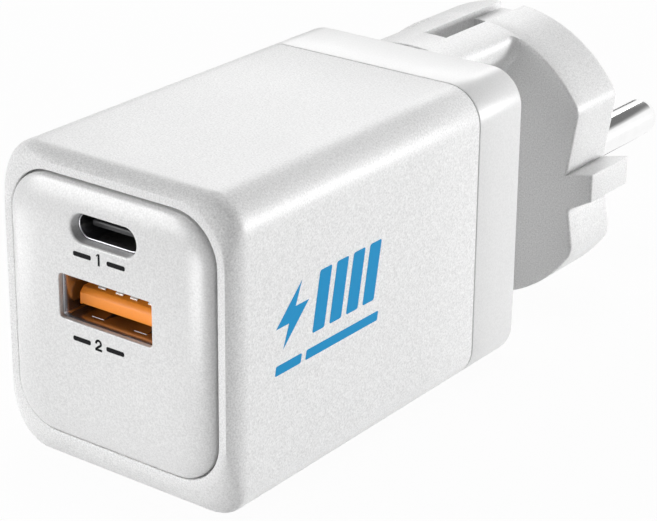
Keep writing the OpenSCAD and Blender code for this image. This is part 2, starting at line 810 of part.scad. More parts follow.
module usb_a_tongue() {
    color("darkorange")
        difference() {
            union() {
                translate([0, 0, usb_a_z])
                    along_y(usb_a_block_y, port_board_front_y)
                        square([usb_a_inner_w - 2 * hole_clearance, usb_a_inner_h - 2 * hole_clearance],
                            center = true);
                translate([-usb_a_tongue_w / 2, usb_a_front_y + usb_a_tongue_setback, usb_a_tongue_z])
                    cube([usb_a_tongue_w, usb_a_length - insulator_depth - usb_a_tongue_setback + cut,
                        usb_a_tongue_t]);
            }
            usb_a_contact_strips(insert_clearance);
        }
}

module usb_a_contacts() {
    color("gold")
        usb_a_contact_strips(0);
}

// One half of the ferrite core, with its yoke below
module core_half() {
    translate([-core_w / 2, -core_depth / 2, 0])
        cube([core_w, core_depth, core_yoke]);
    for (side = [0, 1])
        mirror([side, 0, 0])
            translate([core_w / 2 - core_leg, -core_depth / 2, 0])
                cube([core_leg, core_depth, core_h / 2]);
    cylinder(d = core_post_d, h = core_h / 2, $fn = curve_fn);
}

module transformer_core_lower() {
    color("darkslategray")
        translate([transformer_x, transformer_y, core_z])
            core_half();
}

module transformer_core_upper() {
    color("darkslategray")
        translate([transformer_x, transformer_y, core_z + core_h])
            mirror([0, 0, 1])
                core_half();
}

module transformer_bobbin() {
    flange_w = core_w - 2 * (core_leg + hole_clearance);
    low_z = core_z + core_yoke + hole_clearance;
    high_z = core_z + core_h - core_yoke - hole_clearance - bobbin_wall;
    color("ivory")
        translate([transformer_x, transformer_y, 0])
            difference() {
                union() {
                    for (z = [low_z, high_z])
                        translate([-flange_w / 2, -bobbin_length / 2, z])
                            cube([flange_w, bobbin_length, bobbin_wall]);
                    translate([0, 0, low_z])
                        cylinder(r = bobbin_r, h = window_h - 2 * hole_clearance, $fn = curve_fn);
                    for (end = [0, 1])
                        mirror([0, end, 0])
                            translate([-flange_w / 2, bobbin_length / 2 - bobbin_rail, board_top_z])
                                cube([flange_w, bobbin_rail, low_z - board_top_z + bobbin_wall]);
                }
                translate([0, 0, board_top_z])
                    cylinder(r = core_post_d / 2 + hole_clearance, h = core_h + 2 * bobbin_stand,
                        $fn = curve_fn);
            }
}

module winding(r0, r1) {
    z0 = core_z + core_yoke + hole_clearance + bobbin_wall;
    translate([transformer_x, transformer_y, z0])
        difference() {
            cylinder(r = r1, h = window_h - 2 * (hole_clearance + bobbin_wall), $fn = curve_fn);
            translate([0, 0, -cut])
                cylinder(r = r0, h = window_h + 2 * cut, $fn = curve_fn);
        }
}

module transformer_primary() {
    color("peru")
        winding(winding_r, winding_r + primary_t);
}

module transformer_secondary() {
    r0 = winding_r + primary_t + insert_clearance;
    color("yellow")
        winding(r0, r0 + secondary_t);
}

// Standing can with a groove above its base and bevelled edges
module capacitor_can(d, h) {
    waist = d / 2 - can_bead;
    rotate_extrude($fn = curve_fn)
        polygon([
            [0, 0], [waist, 0], [d / 2, can_bead], [d / 2, 2 * can_bead], [waist, 3 * can_bead],
            [d / 2, 4 * can_bead], [d / 2, h - can_bead], [waist, h], [0, h]
        ]);
}

module bulk_capacitor(place) {
    color("black")
        translate([place * bulk_pitch, bulk_y, board_top_z])
            capacitor_can(bulk_d, bulk_h);
}

module bulk_capacitor_left() {
    bulk_capacitor(-1);
}

module bulk_capacitor_middle() {
    bulk_capacitor(0);
}

module bulk_capacitor_right() {
    bulk_capacitor(1);
}

module output_capacitor(place) {
    color("lightgray")
        translate([output_cap_x + place * (output_cap_d + part_gap), front_row_y, board_top_z])
            capacitor_can(output_cap_d, output_cap_h);
}

module output_capacitor_left() {
    output_capacitor(0);
}

module output_capacitor_right() {
    output_capacitor(1);
}

module output_inductor() {
    x = output_cap_x + 1.5 * output_cap_d + 2 * part_gap;
    color("gray")
        translate([x, front_row_y - inductor_side / 2, board_top_z])
            cube([inductor_side, inductor_side, inductor_h]);
}

module x_capacitor() {
    color("goldenrod")
        translate([x_cap_x - x_cap_w / 2, entry_y, board_top_z])
            cube([x_cap_w, x_cap_t, x_cap_h]);
}

// Round disc on edge, standing on the board on its two leads and facing Y
module disc_on_leads(d, t) {
    translate([0, 0, lead_h + d / 2])
        cylinder_y(d / 2, -t / 2, t / 2);
    for (side = [-1, 1])
        translate([side * d / 4, 0, 0])
            cylinder(d = lead_d, h = lead_h + d / 4, $fn = curve_fn);
}

module y_capacitor() {
    color("royalblue")
        translate([side_x + y_cap_t / 2, switch_y, board_top_z])
            rotate([0, 0, 90])
                disc_on_leads(y_cap_d, y_cap_t);
}

module thermistor() {
    color("olivedrab")
        translate([x_cap_x, thermistor_y, board_top_z])
            disc_on_leads(thermistor_d, thermistor_t);
}

module choke_ring(grow, t) {
    rotate([-90, 0, 0])
        difference() {
            cylinder(d = choke_d + 2 * grow, h = t, center = true, $fn = curve_fn);
            cylinder(d = choke_hole - 2 * grow, h = t + 2 * cut, center = true, $fn = curve_fn);
        }
}

module choke_core() {
    color("dimgray")
        translate([choke_x, choke_y, choke_z])
            choke_ring(0, choke_t);
}

module choke_windings() {
    color("peru")
        translate([choke_x, choke_y, choke_z])
            difference() {
                choke_ring(choke_wire, choke_t + 2 * choke_wire);
                choke_ring(insert_clearance, choke_t + 2 * insert_clearance);
                cube([choke_split, choke_d, 2 * choke_d], center = true);
            }
}

module fuse() {
    color("tan")
        translate([fuse_x, entry_y + fuse_d / 2, board_top_z])
            cylinder(d = fuse_d, h = fuse_h, $fn = curve_fn);
}

// Flat package soldered under the main board
module under_board(size, x, y) {
    translate([x - size[0] / 2, y - size[1] / 2, board_under_z - size[2]])
        cube(size);
}

module bridge_rectifier() {
    color("black")
        under_board(bridge_size, x_cap_x, entry_y);
}

module sync_rectifier() {
    color("black")
        under_board(sync_size, transformer_x, transformer_y);
}

module usb_controller() {
    color("black")
        under_board(controller_size, 0, front_row_y);
}

module optocoupler() {
    color("black")
        translate([side_x, port_board_back_y + part_gap, board_top_z])
            cube(optocoupler_size);
}

// Upright package beside the spreader, on three leads that clear the board rail
module gan_switch() {
    color("black") {
        translate([switch_x, switch_y - switch_w / 2, rail_top_z])
            cube([switch_t, switch_w, switch_h]);
        for (place = [-1, 0, 1])
            translate([switch_x + lead_d, switch_y + place * switch_pitch, board_top_z])
                cylinder(d = lead_d, h = rail_top_z - board_top_z + lead_d, $fn = curve_fn);
    }
}

module thermal_pad() {
    color("lightpink")
        translate([switch_x + switch_t, switch_y - switch_w / 2, rail_top_z])
            cube([pad_t, switch_w, switch_h]);
}

// Sheet folded over the parts, with its legs on the board rails: the upper half of a round-cornered tube
module folded_sheet(w, top_z, t, r) {
    h = top_z - rail_top_z;
    translate([0, 0, rail_top_z])
        along_y(spreader_front_y, rail_end_y)
            difference() {
                rounded_rect(w, 2 * h, r);
                rounded_rect(w - 2 * t, 2 * (h - t), r - t);
                translate([0, -h])
                    square([w + cut, 2 * h], center = true);
            }
}

module heat_spreader() {
    color("lightsteelblue")
        folded_sheet(spreader_w, spreader_top_z, spreader_t, spreader_r);
}

module insulation_sheet() {
    color("khaki")
        folded_sheet(insulation_w, insulation_top_z, insulation_t, spreader_r - spreader_t);
}

main_shell();
port_panel();
rear_cap();
plug_body();
pin_left();
pin_right();
contact_strip_left();
contact_strip_right();
main_board();
port_board();
usb_c_shell();
usb_c_tongue();
usb_c_contacts();
usb_a_shell();
usb_a_tongue();
usb_a_contacts();
transformer_core_lower();
transformer_core_upper();
transformer_bobbin();
transformer_primary();
transformer_secondary();
bulk_capacitor_left();
bulk_capacitor_middle();
bulk_capacitor_right();
output_capacitor_left();
output_capacitor_right();
output_inductor();
x_capacitor();
y_capacitor();
choke_core();
choke_windings();
fuse();
thermistor();
bridge_rectifier();
gan_switch();
thermal_pad();
sync_rectifier();
usb_controller();
optocoupler();
heat_spreader();
insulation_sheet();
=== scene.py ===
import json
import math
from types import SimpleNamespace

import bpy
import numpy as np
from bpy.props import FloatProperty, FloatVectorProperty, PointerProperty
from mathutils import Matrix, Vector


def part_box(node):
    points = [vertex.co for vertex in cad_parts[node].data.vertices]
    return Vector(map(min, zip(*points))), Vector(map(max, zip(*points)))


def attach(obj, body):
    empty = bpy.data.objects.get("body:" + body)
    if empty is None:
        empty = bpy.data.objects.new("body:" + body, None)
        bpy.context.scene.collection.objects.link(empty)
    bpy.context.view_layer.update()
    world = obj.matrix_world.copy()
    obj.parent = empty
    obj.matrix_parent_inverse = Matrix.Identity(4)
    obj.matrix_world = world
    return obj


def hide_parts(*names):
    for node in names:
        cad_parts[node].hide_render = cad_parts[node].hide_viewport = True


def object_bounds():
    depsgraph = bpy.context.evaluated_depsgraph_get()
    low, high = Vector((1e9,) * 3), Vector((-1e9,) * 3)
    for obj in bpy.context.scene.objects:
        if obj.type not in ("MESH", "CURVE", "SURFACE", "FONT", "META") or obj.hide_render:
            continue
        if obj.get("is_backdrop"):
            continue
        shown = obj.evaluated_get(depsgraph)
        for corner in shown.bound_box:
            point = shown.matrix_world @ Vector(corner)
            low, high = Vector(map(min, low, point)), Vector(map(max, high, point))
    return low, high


bl_info = {
    "name": "Wall charger dressing",
    "version": (1, 0, 0),
    "blender": (4, 5, 0),
    "location": "View3D > Sidebar > Charger",
    "description": "Builds the finished outer pieces, ports, prints and studio of a USB wall charger",
    "category": "Add Mesh",
}

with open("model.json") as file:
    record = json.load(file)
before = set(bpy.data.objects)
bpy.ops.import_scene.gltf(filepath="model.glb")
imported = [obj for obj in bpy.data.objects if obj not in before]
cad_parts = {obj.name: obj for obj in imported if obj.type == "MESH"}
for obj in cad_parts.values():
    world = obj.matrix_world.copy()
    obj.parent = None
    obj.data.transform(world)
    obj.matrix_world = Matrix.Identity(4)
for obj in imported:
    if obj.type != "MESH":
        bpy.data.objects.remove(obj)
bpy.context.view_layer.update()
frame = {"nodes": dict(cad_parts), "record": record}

MM = 0.001
BODY = "root"


def box(node):
    """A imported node's low and high corners in millimetres, as two rows of x, y and z."""
    return np.array(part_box(node)) / MM


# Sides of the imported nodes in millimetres. Y runs along the plug's axis, from the ports to the pins' tips.
SHELL, PANEL, PIN = box("main_shell"), box("port_panel"), box("pin_right")
USB_A, USB_C = box("usb_a_shell"), box("usb_c_shell")
RIM_Y, PARTING_Y = SHELL[:, 1]
BODY_W, _, BODY_H = SHELL[1] - SHELL[0]
LIP_FRONT_Y, CAP_BACK_Y = box("rear_cap")[:, 1]
FACE_Y, SEAT_Y = PANEL[:, 1]
USB_A_FRONT_Y, PORT_BACK_Y = USB_A[:, 1]
USB_C_FRONT_Y = USB_C[0, 1]
USB_A_Z, USB_C_Z = USB_A[:, 2].mean(), USB_C[:, 2].mean()
PIN_ROOT_Y, PIN_END_Y = PIN[:, 1]
PIN_X = PIN[:, 0].mean()

# The panel is drawn narrower and lower than its node by the trim, and its middle sits half the trim lower.
PANEL_TRIM = 0.2
PANEL_W, _, PANEL_H = PANEL[1] - PANEL[0] - PANEL_TRIM
PANEL_Z = PANEL[:, 2].mean() - PANEL_TRIM / 2

# Lengths in millimetres that belong to how the pieces are drawn.
SHARPEST_CORNER = 0.6  # least radius of the body's outline, inside as well as outside
PARTING_EDGE = 0.12  # rounding of sleeve and cap where they meet
SEAT_LEDGE = 1.0  # how far the sleeve reaches in behind the panel
LIP_GAP = 0.1  # space round the cap's lip and behind its wall
NECK_WINDOW = (8.2, 24.2, 0.6)  # width, height and corner of the opening in the cap's wall
SPIGOT = (7.8, 23.8, 0.5)  # the same of the neck's end in that opening
SPIGOT_HOOK = (7.8, 25.4, 0.5)  # and of its hook behind the wall
RIB_EDGE = 0.2  # rounding of the guide rib's end
TONGUE_LIFT, TONGUE_HEIGHT = 0.95, 1.84  # the lower tongue over its shell's floor
PORT_BLOCK = 2.6  # depth of the block that carries a tongue

# Angles in degrees, and two plain numbers.
WAIST_LEAN = 9.0  # lean of the plug's waist
LOBE_LEAN = 42  # lean of the neck's lobes towards its web
SHARP_EDGE = 35  # turn from which an edge is shaded sharp
RIB_CLIMB = 0.32  # climb of the rib's upper side from its root, per length
WHITE_GRAIN = 5200.0  # grains per metre of the moulded whites


def length(name, description, millimetres):
    """A length property whose default is given in millimetres."""
    return FloatProperty(name=name, description=description, default=millimetres * MM, unit="LENGTH", precision=5)


def angle(name, description, degrees):
    """An angle property whose default is given in degrees."""
    return FloatProperty(name=name, description=description, default=math.radians(degrees), subtype="ANGLE",
                         unit="ROTATION")


def amount(name, description, value, **limits):
    """A plain number property."""
    return FloatProperty(name=name, description=description, default=value, **limits)


def colour(name, description, value):
    """A colour property with a linear default."""
    return FloatVectorProperty(name=name, description=description, default=value, subtype="COLOR",
                               size=3, min=0, max=1)


class ChargerSizes(bpy.types.PropertyGroup):
    """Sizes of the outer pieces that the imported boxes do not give."""

    body_corner: length("Body corner", "Radius of the body's long edges", 4.4)
    front_blend: length("Front blend", "Depth of the rounding round the flat rim", 2.5)
    front_crease: angle("Front crease", "Turn at which the front blend leaves the flat rim", 38)
    ring: length("Rim ring", "Width of the flat ring round the panel", 1.24)
    ring_edge: length("Ring edge", "Rounding of the ring's inner edge", 0.14)
    rear_edge: length("Rear edge", "Rounding of the cap's rear edge", 0.6)
    parting_gap: length("Parting gap", "Width of the line between sleeve and cap", 0.16)
    parting_depth: length("Parting depth", "Depth of the line between sleeve and cap", 0.6)
    sleeve_wall: length("Sleeve wall", "Thickness of the sleeve's sides", 1.6)
    front_wall: length("Front wall", "Thickness of the sleeve's front", 2.7)
    cap_wall: length("Cap wall", "Thickness of the cap's rear wall", 1.8)
    lip_wall: length("Lip wall", "Thickness of the cap's lip inside the sleeve", 0.9)
    panel_corner: length("Panel corner", "Radius of the panel's corners", 5.25)
    panel_gap: length("Panel gap", "Space between the panel and its recess", 0.24)
    panel_edge: length("Panel edge", "Height of the panel's edge over the rim", -0.06)
    panel_border: length("Panel border", "Width of the panel's rounded border", 4.5)
    usb_c_window_w: length("USB-C window width", "Width of the upper window", 9.06)
    usb_c_window_h: length("USB-C window height", "Height of the upper window", 3.24)
    usb_c_bevel: length("USB-C bevel", "Rounding of the upper window's edge", 0.3)
    usb_a_window_w: length("USB-A window width", "Width of the lower window", 12.95)
    usb_a_window_h: length("USB-A window height", "Height of the lower window", 5.15)
    usb_a_corner: length("USB-A corner", "Corner radius of the lower window", 0.45)
    usb_a_bevel: length("USB-A bevel", "Rounding of the lower window's edge", 0.12)
    disc_r: length("Disc radius", "Radius of the plug disc", 18.3)
    disc_depth: length("Disc depth", "Thickness of the plug disc", 9.8)
    disc_front_edge: length("Pin face edge", "Rounding of the pin face's edge", 0.9)
    disc_back_edge: length("Disc back edge", "Rounding of the disc's edge towards the body", 0.35)
    waist_half: length("Waist height", "Half height at which the disc turns in to its waist", 10.2)
    waist_round: length("Waist rounding", "Radius of the turn into the waist", 2.7)
    rib_half: length("Rib height", "Half height of the guide rib", 1.87)
    rib_drop: length("Rib drop", "Distance of the rib's outer face below the middle", 0.22)
    rib_root_top: length("Rib upper root", "Distance by which the rib's upper side slopes down to its root", 1.07)
    rib_root_low: length("Rib lower root", "Distance by which the rib's lower side slopes down to its root", 1.85)
    rib_x: length("Rib reach", "Distance of the rib's outer face from the middle", 18.1)
    rib_setback: length("Rib setback", "Distance of the rib's end from the pin face", 0.9)
    groove_half: length("Groove width", "Half width of the clip groove", 1.7)
    groove_shallow: length("Shallow groove", "Depth of the groove on the disc", 0.9)
    groove_deep: length("Deep groove", "Depth of the groove on the neck", 2.2)
    groove_step: length("Groove step", "Distance of the deep groove's start from the pin face", 7.0)
    groove_end: length("Groove end", "Distance of the groove's end from the pin face", 18.3)
    neck_waist: length("Neck waist", "Half width of the neck's web", 4.2)
    neck_lobe_x: length("Lobe place", "Distance of the lobe's centre from the middle plane", 3.85)
    neck_lobe_z: length("Lobe height", "Height of the lobe's centre", 16.0)
    neck_lobe_r: length("Lobe radius", "Radius of the neck's lobes", 2.3)
    neck_flare: length("Neck flare", "Radius of the fillet between neck and disc", 1.0)
    pin_r: length("Pin radius", "Radius of the mains pins", 2.4)
    pin_root_r: length("Pin root radius", "Radius of the pins inside the disc", 2.2)
    pin_tip: length("Pin tip", "Rounding of the pins' tips", 2.1)
    usb_a_w: length("USB-A shell width", "Outer width of the lower receptacle", 13.1)
    usb_a_h: length("USB-A shell height", "Outer height of the lower receptacle", 5.7)
    usb_a_sheet: length("USB-A sheet", "Sheet thickness of the lower receptacle", 0.3)
    usb_c_w: length("USB-C shell width", "Outer width of the upper receptacle", 8.94)
    usb_c_h: length("USB-C shell height", "Outer height of the upper receptacle", 3.16)
    usb_c_sheet: length("USB-C sheet", "Sheet thickness of the upper receptacle", 0.25)
    print_height: length("Print thickness", "Thickness of the printed marks", 0.02)


class ChargerColours(bpy.types.PropertyGroup):
    """Colours of the finishes, as linear values."""

    sleeve: colour("Sleeve", "Matt white of the sleeve", (0.80, 0.80, 0.80))
    panel: colour("Panel", "Satin white of the port panel", (0.71, 0.71, 0.71))
    cap: colour("Cap", "Smooth white of the rear cap", (0.78, 0.78, 0.78))
    plug: colour("Plug", "Matt white of the plug", (0.80, 0.80, 0.80))
    orange: colour("Orange", "Orange of the lower tongue", (0.98, 0.30, 0.02))
    dark: colour("Dark plastic", "Black plastic of the upper tongue", (0.025, 0.025, 0.026))
    blue: colour("Print blue", "Blue of the side marks", (0.004, 0.27, 0.56))
    black: colour("Print black", "Black of the port marks", (0.006, 0.006, 0.007))
    floor: colour("Floor", "White of the floor and background", (1.0, 1.0, 1.0))


class ChargerStudio(bpy.types.PropertyGroup):
    """Camera and lamps."""

    azimuth: angle("Azimuth", "Camera's turn round the charger", 37.08)
    elevation: angle("Elevation", "Camera's height angle", 22.17)
    roll: angle("Roll", "Camera's turn about its own axis", 0.36)
    distance: length("Distance", "Camera's distance from the charger's middle", 260.95)
    lens: amount("Lens", "Focal length in millimetres on a 36 mm sensor", 122.94)
    shift_x: amount("Shift x", "Sideways shift of the lens", 0.0301)
    shift_y: amount("Shift y", "Upward shift of the lens", -0.0499)
    key: amount("Key lamp", "Strength of the upper lamps", 1.0, min=0)
    side: amount("Side lamp", "Strength of the side lamp", 1.0, min=0)
    front: amount("Front lamps", "Strength of the lamps before the ports", 1.0, min=0)
    ambient: amount("Ambient", "Strength of the surrounding light", 0.0, min=0)


def in_millimetres(context):
    """The size settings as plain numbers by name, the lengths in millimetres."""
    group = context.scene.charger_sizes
    properties = {key: group.bl_rna.properties[key] for key in group.bl_rna.properties.keys()
                  if key not in ("rna_type", "name")}
    return SimpleNamespace(**{key: getattr(group, key) / (MM if one.unit == "LENGTH" else 1)
                              for key, one in properties.items()})


# ---------------------------------------------------------------- surfaces


def arc(centre, radius, start, end, count):
    """Points on a circle about centre from one angle to the other, in degrees, counter-clockwise when end is larger."""
    turn = np.radians(np.linspace(start, end, count))
    return np.array(centre) + radius * np.stack([np.cos(turn), np.sin(turn)], -1)


def quarter(radius, *degrees):
    """A quarter circle at some angles: pairs of the radius less its cosine part and the radius less its sine part."""
    return [(radius * (1 - math.cos(turn)), radius * (1 - math.sin(turn))) for turn in np.radians(degrees)]


def eased(start, corner, end, count):
    """Points of a parabola that leaves its start towards the corner and reaches its end from there."""
    t = np.linspace(0, 1, count)[:, None]
    return (1 - t) ** 2 * start + 2 * t * (1 - t) * corner + t ** 2 * end


def rounded_loop(width, height, radius, centre_z=0.0, corner=12, side=6):
    """Outline of a rounded rectangle in x and z: four quarter circles joined by straight sides with
    the given number of points on each, counter-clockwise when seen from the ports."""
    middles = np.array([[1, 1], [-1, 1], [-1, -1], [1, -1]]) * [width / 2 - radius, height / 2 - radius]
    turn = np.linspace(0, math.pi / 2, corner)[None, :] + np.arange(4)[:, None] * math.pi / 2
    corners = middles[:, None, :] + radius * np.stack([np.cos(turn), np.sin(turn)], -1)
    share = np.linspace(0, 1, side + 2)[1:-1][None, :, None]
    sides = corners[:, -1:] * (1 - share) + np.roll(corners[:, :1], -1, axis=0) * share
    return np.concatenate([corners, sides], axis=1).reshape(-1, 2) + [0, centre_z]


def pulled(points, width, height, radius):
    """Moves points of a rectangle onto a rounded rectangle of the same size. In the square at each corner a
    point keeps its direction from the square's inner corner, and its larger coordinate becomes its distance."""
    inner = np.clip(points, [-(width / 2 - radius), -(height / 2 - radius)], [width / 2 - radius, height / 2 - radius])
    offset = points - inner
    reach = np.abs(offset).max(axis=-1, keepdims=True)
    away = np.linalg.norm(offset, axis=-1, keepdims=True)
    return inner + offset * np.divide(reach, away, out=np.ones_like(away), where=away > 1e-9)


def inset(outline, distance):
    """A closed outline moved inwards by the distance, its corners mitred. The outline runs counter-clockwise."""
    ahead = np.roll(outline, -1, axis=0) - outline
    ahead = ahead / np.linalg.norm(ahead, axis=1, keepdims=True)
    out_next = np.stack([ahead[:, 1], -ahead[:, 0]], -1)
    out_last = np.roll(out_next, 1, axis=0)
    mitre = (out_next + out_last) / (1 + (out_next * out_last).sum(axis=1, keepdims=True))
    return outline - distance * mitre


def at_y(outline, y):
    """An outline in x and z put at one place along the plug's axis, as points in space."""
    return np.insert(outline, 1, y, axis=1)


def at_x(outline, x):
    """An outline in y and z put at one place across the body, as points in space."""
    return np.insert(outline, 0, x, axis=1)


def quads(rows, columns, around=True, closed=False, flip=False):
    """Faces of a grid of rows times columns. Around joins the last column to the first, closed joins the last row
    to the first, and flip turns the faces round."""
    last_row = rows if closed else rows - 1
    last_column = columns if around else columns - 1
    r, c = np.meshgrid(np.arange(last_row), np.arange(last_column), indexing="ij")
    r2, c2 = (r + 1) % rows, (c + 1) % columns
    faces = np.stack([r * columns + c, r2 * columns + c, r2 * columns + c2, r * columns + c2], -1).reshape(-1, 4)
    return faces[:, ::-1] if flip else faces


def skin(stations, closed=False, caps=True, flip=False):
    """A shell through a list of closed outlines. Closed joins the last outline to the first, and otherwise caps
    fill the two ends with one flat face each."""
    rows, columns = len(stations), len(stations[0])
    faces = [quads(rows, columns, closed=closed, flip=flip)]
    if caps and not closed:
        start = np.arange(columns)
        end = (rows - 1) * columns + start
        faces += [(start[::-1] if flip else start)[None, :], (end if flip else end[::-1])[None, :]]
    return np.concatenate(stations), faces


def turned(profile, count=64, centre=(0.0, 0.0)):
    """A solid of revolution about a line along y through centre. Profile rows are y and radius, from one pole to
    the other; both poles are single points."""
    turn = np.linspace(0, 2 * math.pi, count, endpoint=False)
    ring = np.stack([np.cos(turn), np.zeros(count), np.sin(turn)], -1)
    y, r = np.array(profile).T
    inner = ring[None] * r[1:-1, None, None] + np.stack([np.full(len(y) - 2, centre[0]), y[1:-1],
                                                         np.full(len(y) - 2, centre[1])], -1)[:, None]
    poles = np.array([[centre[0], y[0], centre[1]], [centre[0], y[-1], centre[1]]])
    n = (len(y) - 2) * count
    here = np.arange(count)
    ahead = (here + 1) % count
    first = np.stack([np.full(count, n), here, ahead], -1)
    last = np.stack([np.full(count, n + 1), n - count + ahead, n - count + here], -1)
    return np.concatenate([inner.reshape(-1, 3), poles]), [quads(len(y) - 2, count), first, last]


def joined(*parts):
    """Several shells as one list of points and faces."""
    points, faces, base = [], [], 0
    for part_points, part_faces in parts:
        points.append(part_points)
        faces += [f + base for f in part_faces]
        base += len(part_points)
    return np.concatenate(points), faces


def put_piece(name, shape, finish_name, node=None):
    """Makes a mesh object of a shape in millimetres, smooth except at its sharp edges, and lets it ride on the body.
    It wears the named finish, and where it stands for a node, it hides the node."""
    points, faces = shape
    mesh = bpy.data.meshes.new(name)
    sizes = np.concatenate([np.full(len(f), f.shape[1]) for f in faces])
    corners = np.concatenate([f.ravel() for f in faces])
    mesh.vertices.add(len(points))
    mesh.vertices.foreach_set("co", (points * MM).astype(np.float32).ravel())
    mesh.loops.add(len(corners))
    mesh.loops.foreach_set("vertex_index", corners.astype(np.int32))
    mesh.polygons.add(len(sizes))
    mesh.polygons.foreach_set("loop_start", np.concatenate([[0], np.cumsum(sizes)[:-1]]).astype(np.int32))
    mesh.polygons.foreach_set("loop_total", sizes.astype(np.int32))
    mesh.update(calc_edges=True)
    if mesh.validate():
        raise RuntimeError(f"{name} has faces that do not hold together")
    mesh.polygons.foreach_set("use_smooth", np.ones(len(sizes), bool))
    mesh.set_sharp_from_angle(angle=math.radians(SHARP_EDGE))
    mesh.materials.append(FINISHES[finish_name])
    piece = bpy.data.objects.new(name, mesh)
    bpy.context.scene.collection.objects.link(piece)
    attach(piece, BODY)
    if node:
        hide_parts(node)


# ---------------------------------------------------------------- pieces


def body_loop(s, grow, y):
    """The body's rounded outline, grown by a distance, at one place along y."""
    return at_y(rounded_loop(BODY_W + 2 * grow, BODY_H + 2 * grow, max(s.body_corner + grow, SHARPEST_CORNER)), y)


def sleeve_shape(s):
    """The sleeve as one closed profile of rounded rectangles: a blend whose width and depth follow an ellipse from a
    crease at the flat ring to the sides, long sides, rear end, the inner walls, the panel's recess and the ring."""
    ring_w, ring_h = PANEL_W + 2 * s.ring, PANEL_H + 2 * s.ring
    ring_r = s.panel_corner + s.ring
    end_y = PARTING_Y - s.parting_gap / 2
    side_y, inner_y = RIM_Y + s.front_blend, RIM_Y + s.front_wall
    crease = s.front_crease

    def recess(grow, y):
        return at_y(rounded_loop(PANEL_W + 2 * grow, PANEL_H + 2 * grow, s.panel_corner + grow, PANEL_Z), y)

    stations = []
    for turn in np.linspace(crease, math.pi / 2, 17):
        share = (math.sin(turn) - math.sin(crease)) / (1 - math.sin(crease))
        loop = rounded_loop(ring_w + (BODY_W - ring_w) * share, ring_h + (BODY_H - ring_h) * share,
                            ring_r + (s.body_corner - ring_r) * share, PANEL_Z * (1 - share))
        stations.append(at_y(loop, RIM_Y + s.front_blend * (1 - math.cos(turn) / math.cos(crease))))
    stations += [body_loop(s, 0, side_y + (end_y - PARTING_EDGE - side_y) * share) for share in (0.25, 0.5, 0.75, 1)]
    stations += [body_loop(s, -a, end_y - b) for a, b in quarter(PARTING_EDGE, 30, 60, 90)]
    stations += [body_loop(s, grow, y) for grow, y in ((-s.parting_depth, end_y), (-s.parting_depth, PARTING_Y),
                                                       (-s.sleeve_wall, PARTING_Y), (-s.sleeve_wall, inner_y))]
    stations += [recess(grow, y) for grow, y in ((-SEAT_LEDGE, inner_y), (-SEAT_LEDGE, SEAT_Y), (s.panel_gap, SEAT_Y),
                                                 (s.panel_gap, RIM_Y + s.ring_edge))]
    stations += [recess(s.panel_gap + a, RIM_Y + b) for a, b in quarter(s.ring_edge, 22.5, 45, 67.5, 90)]
    return skin(stations, closed=True)


def cap_shape(s):
    """The rear cap as one closed profile: front edge at the parting line, sides, rounded rear edge, rear wall down
    to the neck's window, the inner walls and the lip that reaches into the sleeve."""
    start_y, wall_y = PARTING_Y + s.parting_gap / 2, CAP_BACK_Y - s.cap_wall
    lip = -s.sleeve_wall - LIP_GAP
    stations = [body_loop(s, -s.parting_depth, y) for y in (PARTING_Y, start_y)]
    stations += [body_loop(s, -b, start_y + a) for a, b in quarter(PARTING_EDGE, 0, 30, 60, 90)]
    stations += [body_loop(s, 0, start_y + (CAP_BACK_Y - s.rear_edge - start_y) * share) for share in (0.5, 1)]
    stations += [body_loop(s, -a, CAP_BACK_Y - b) for a, b in quarter(s.rear_edge, 15, 30, 45, 60, 75, 90)]
    stations += [at_y(rounded_loop(*NECK_WINDOW), y) for y in (CAP_BACK_Y, wall_y)]
    stations += [body_loop(s, grow, y) for grow, y in ((lip - s.lip_wall, wall_y), (lip - s.lip_wall, LIP_FRONT_Y),
                                                       (lip, LIP_FRONT_Y), (lip, PARTING_Y))]
    return skin(stations, closed=True)


def face_height(s, x, z):
    """Place of the panel's face along y. It rises from the edge to the flat middle on a quarter ellipse whose
    run is the border's width, measured from the nearest point of the rounded outline."""
    middle = np.array([PANEL_W / 2, PANEL_H / 2]) - s.panel_corner
    beyond = np.stack([np.abs(x), np.abs(z - PANEL_Z)], -1) - middle
    depth = s.panel_corner - np.linalg.norm(np.maximum(beyond, 0), axis=-1) - np.minimum(beyond.max(axis=-1), 0)
    share = np.clip(1 - depth / s.panel_border, 0, 1)
    top = RIM_Y - s.panel_edge
    return top + (FACE_Y - top) * np.sqrt(1 - share ** 2)


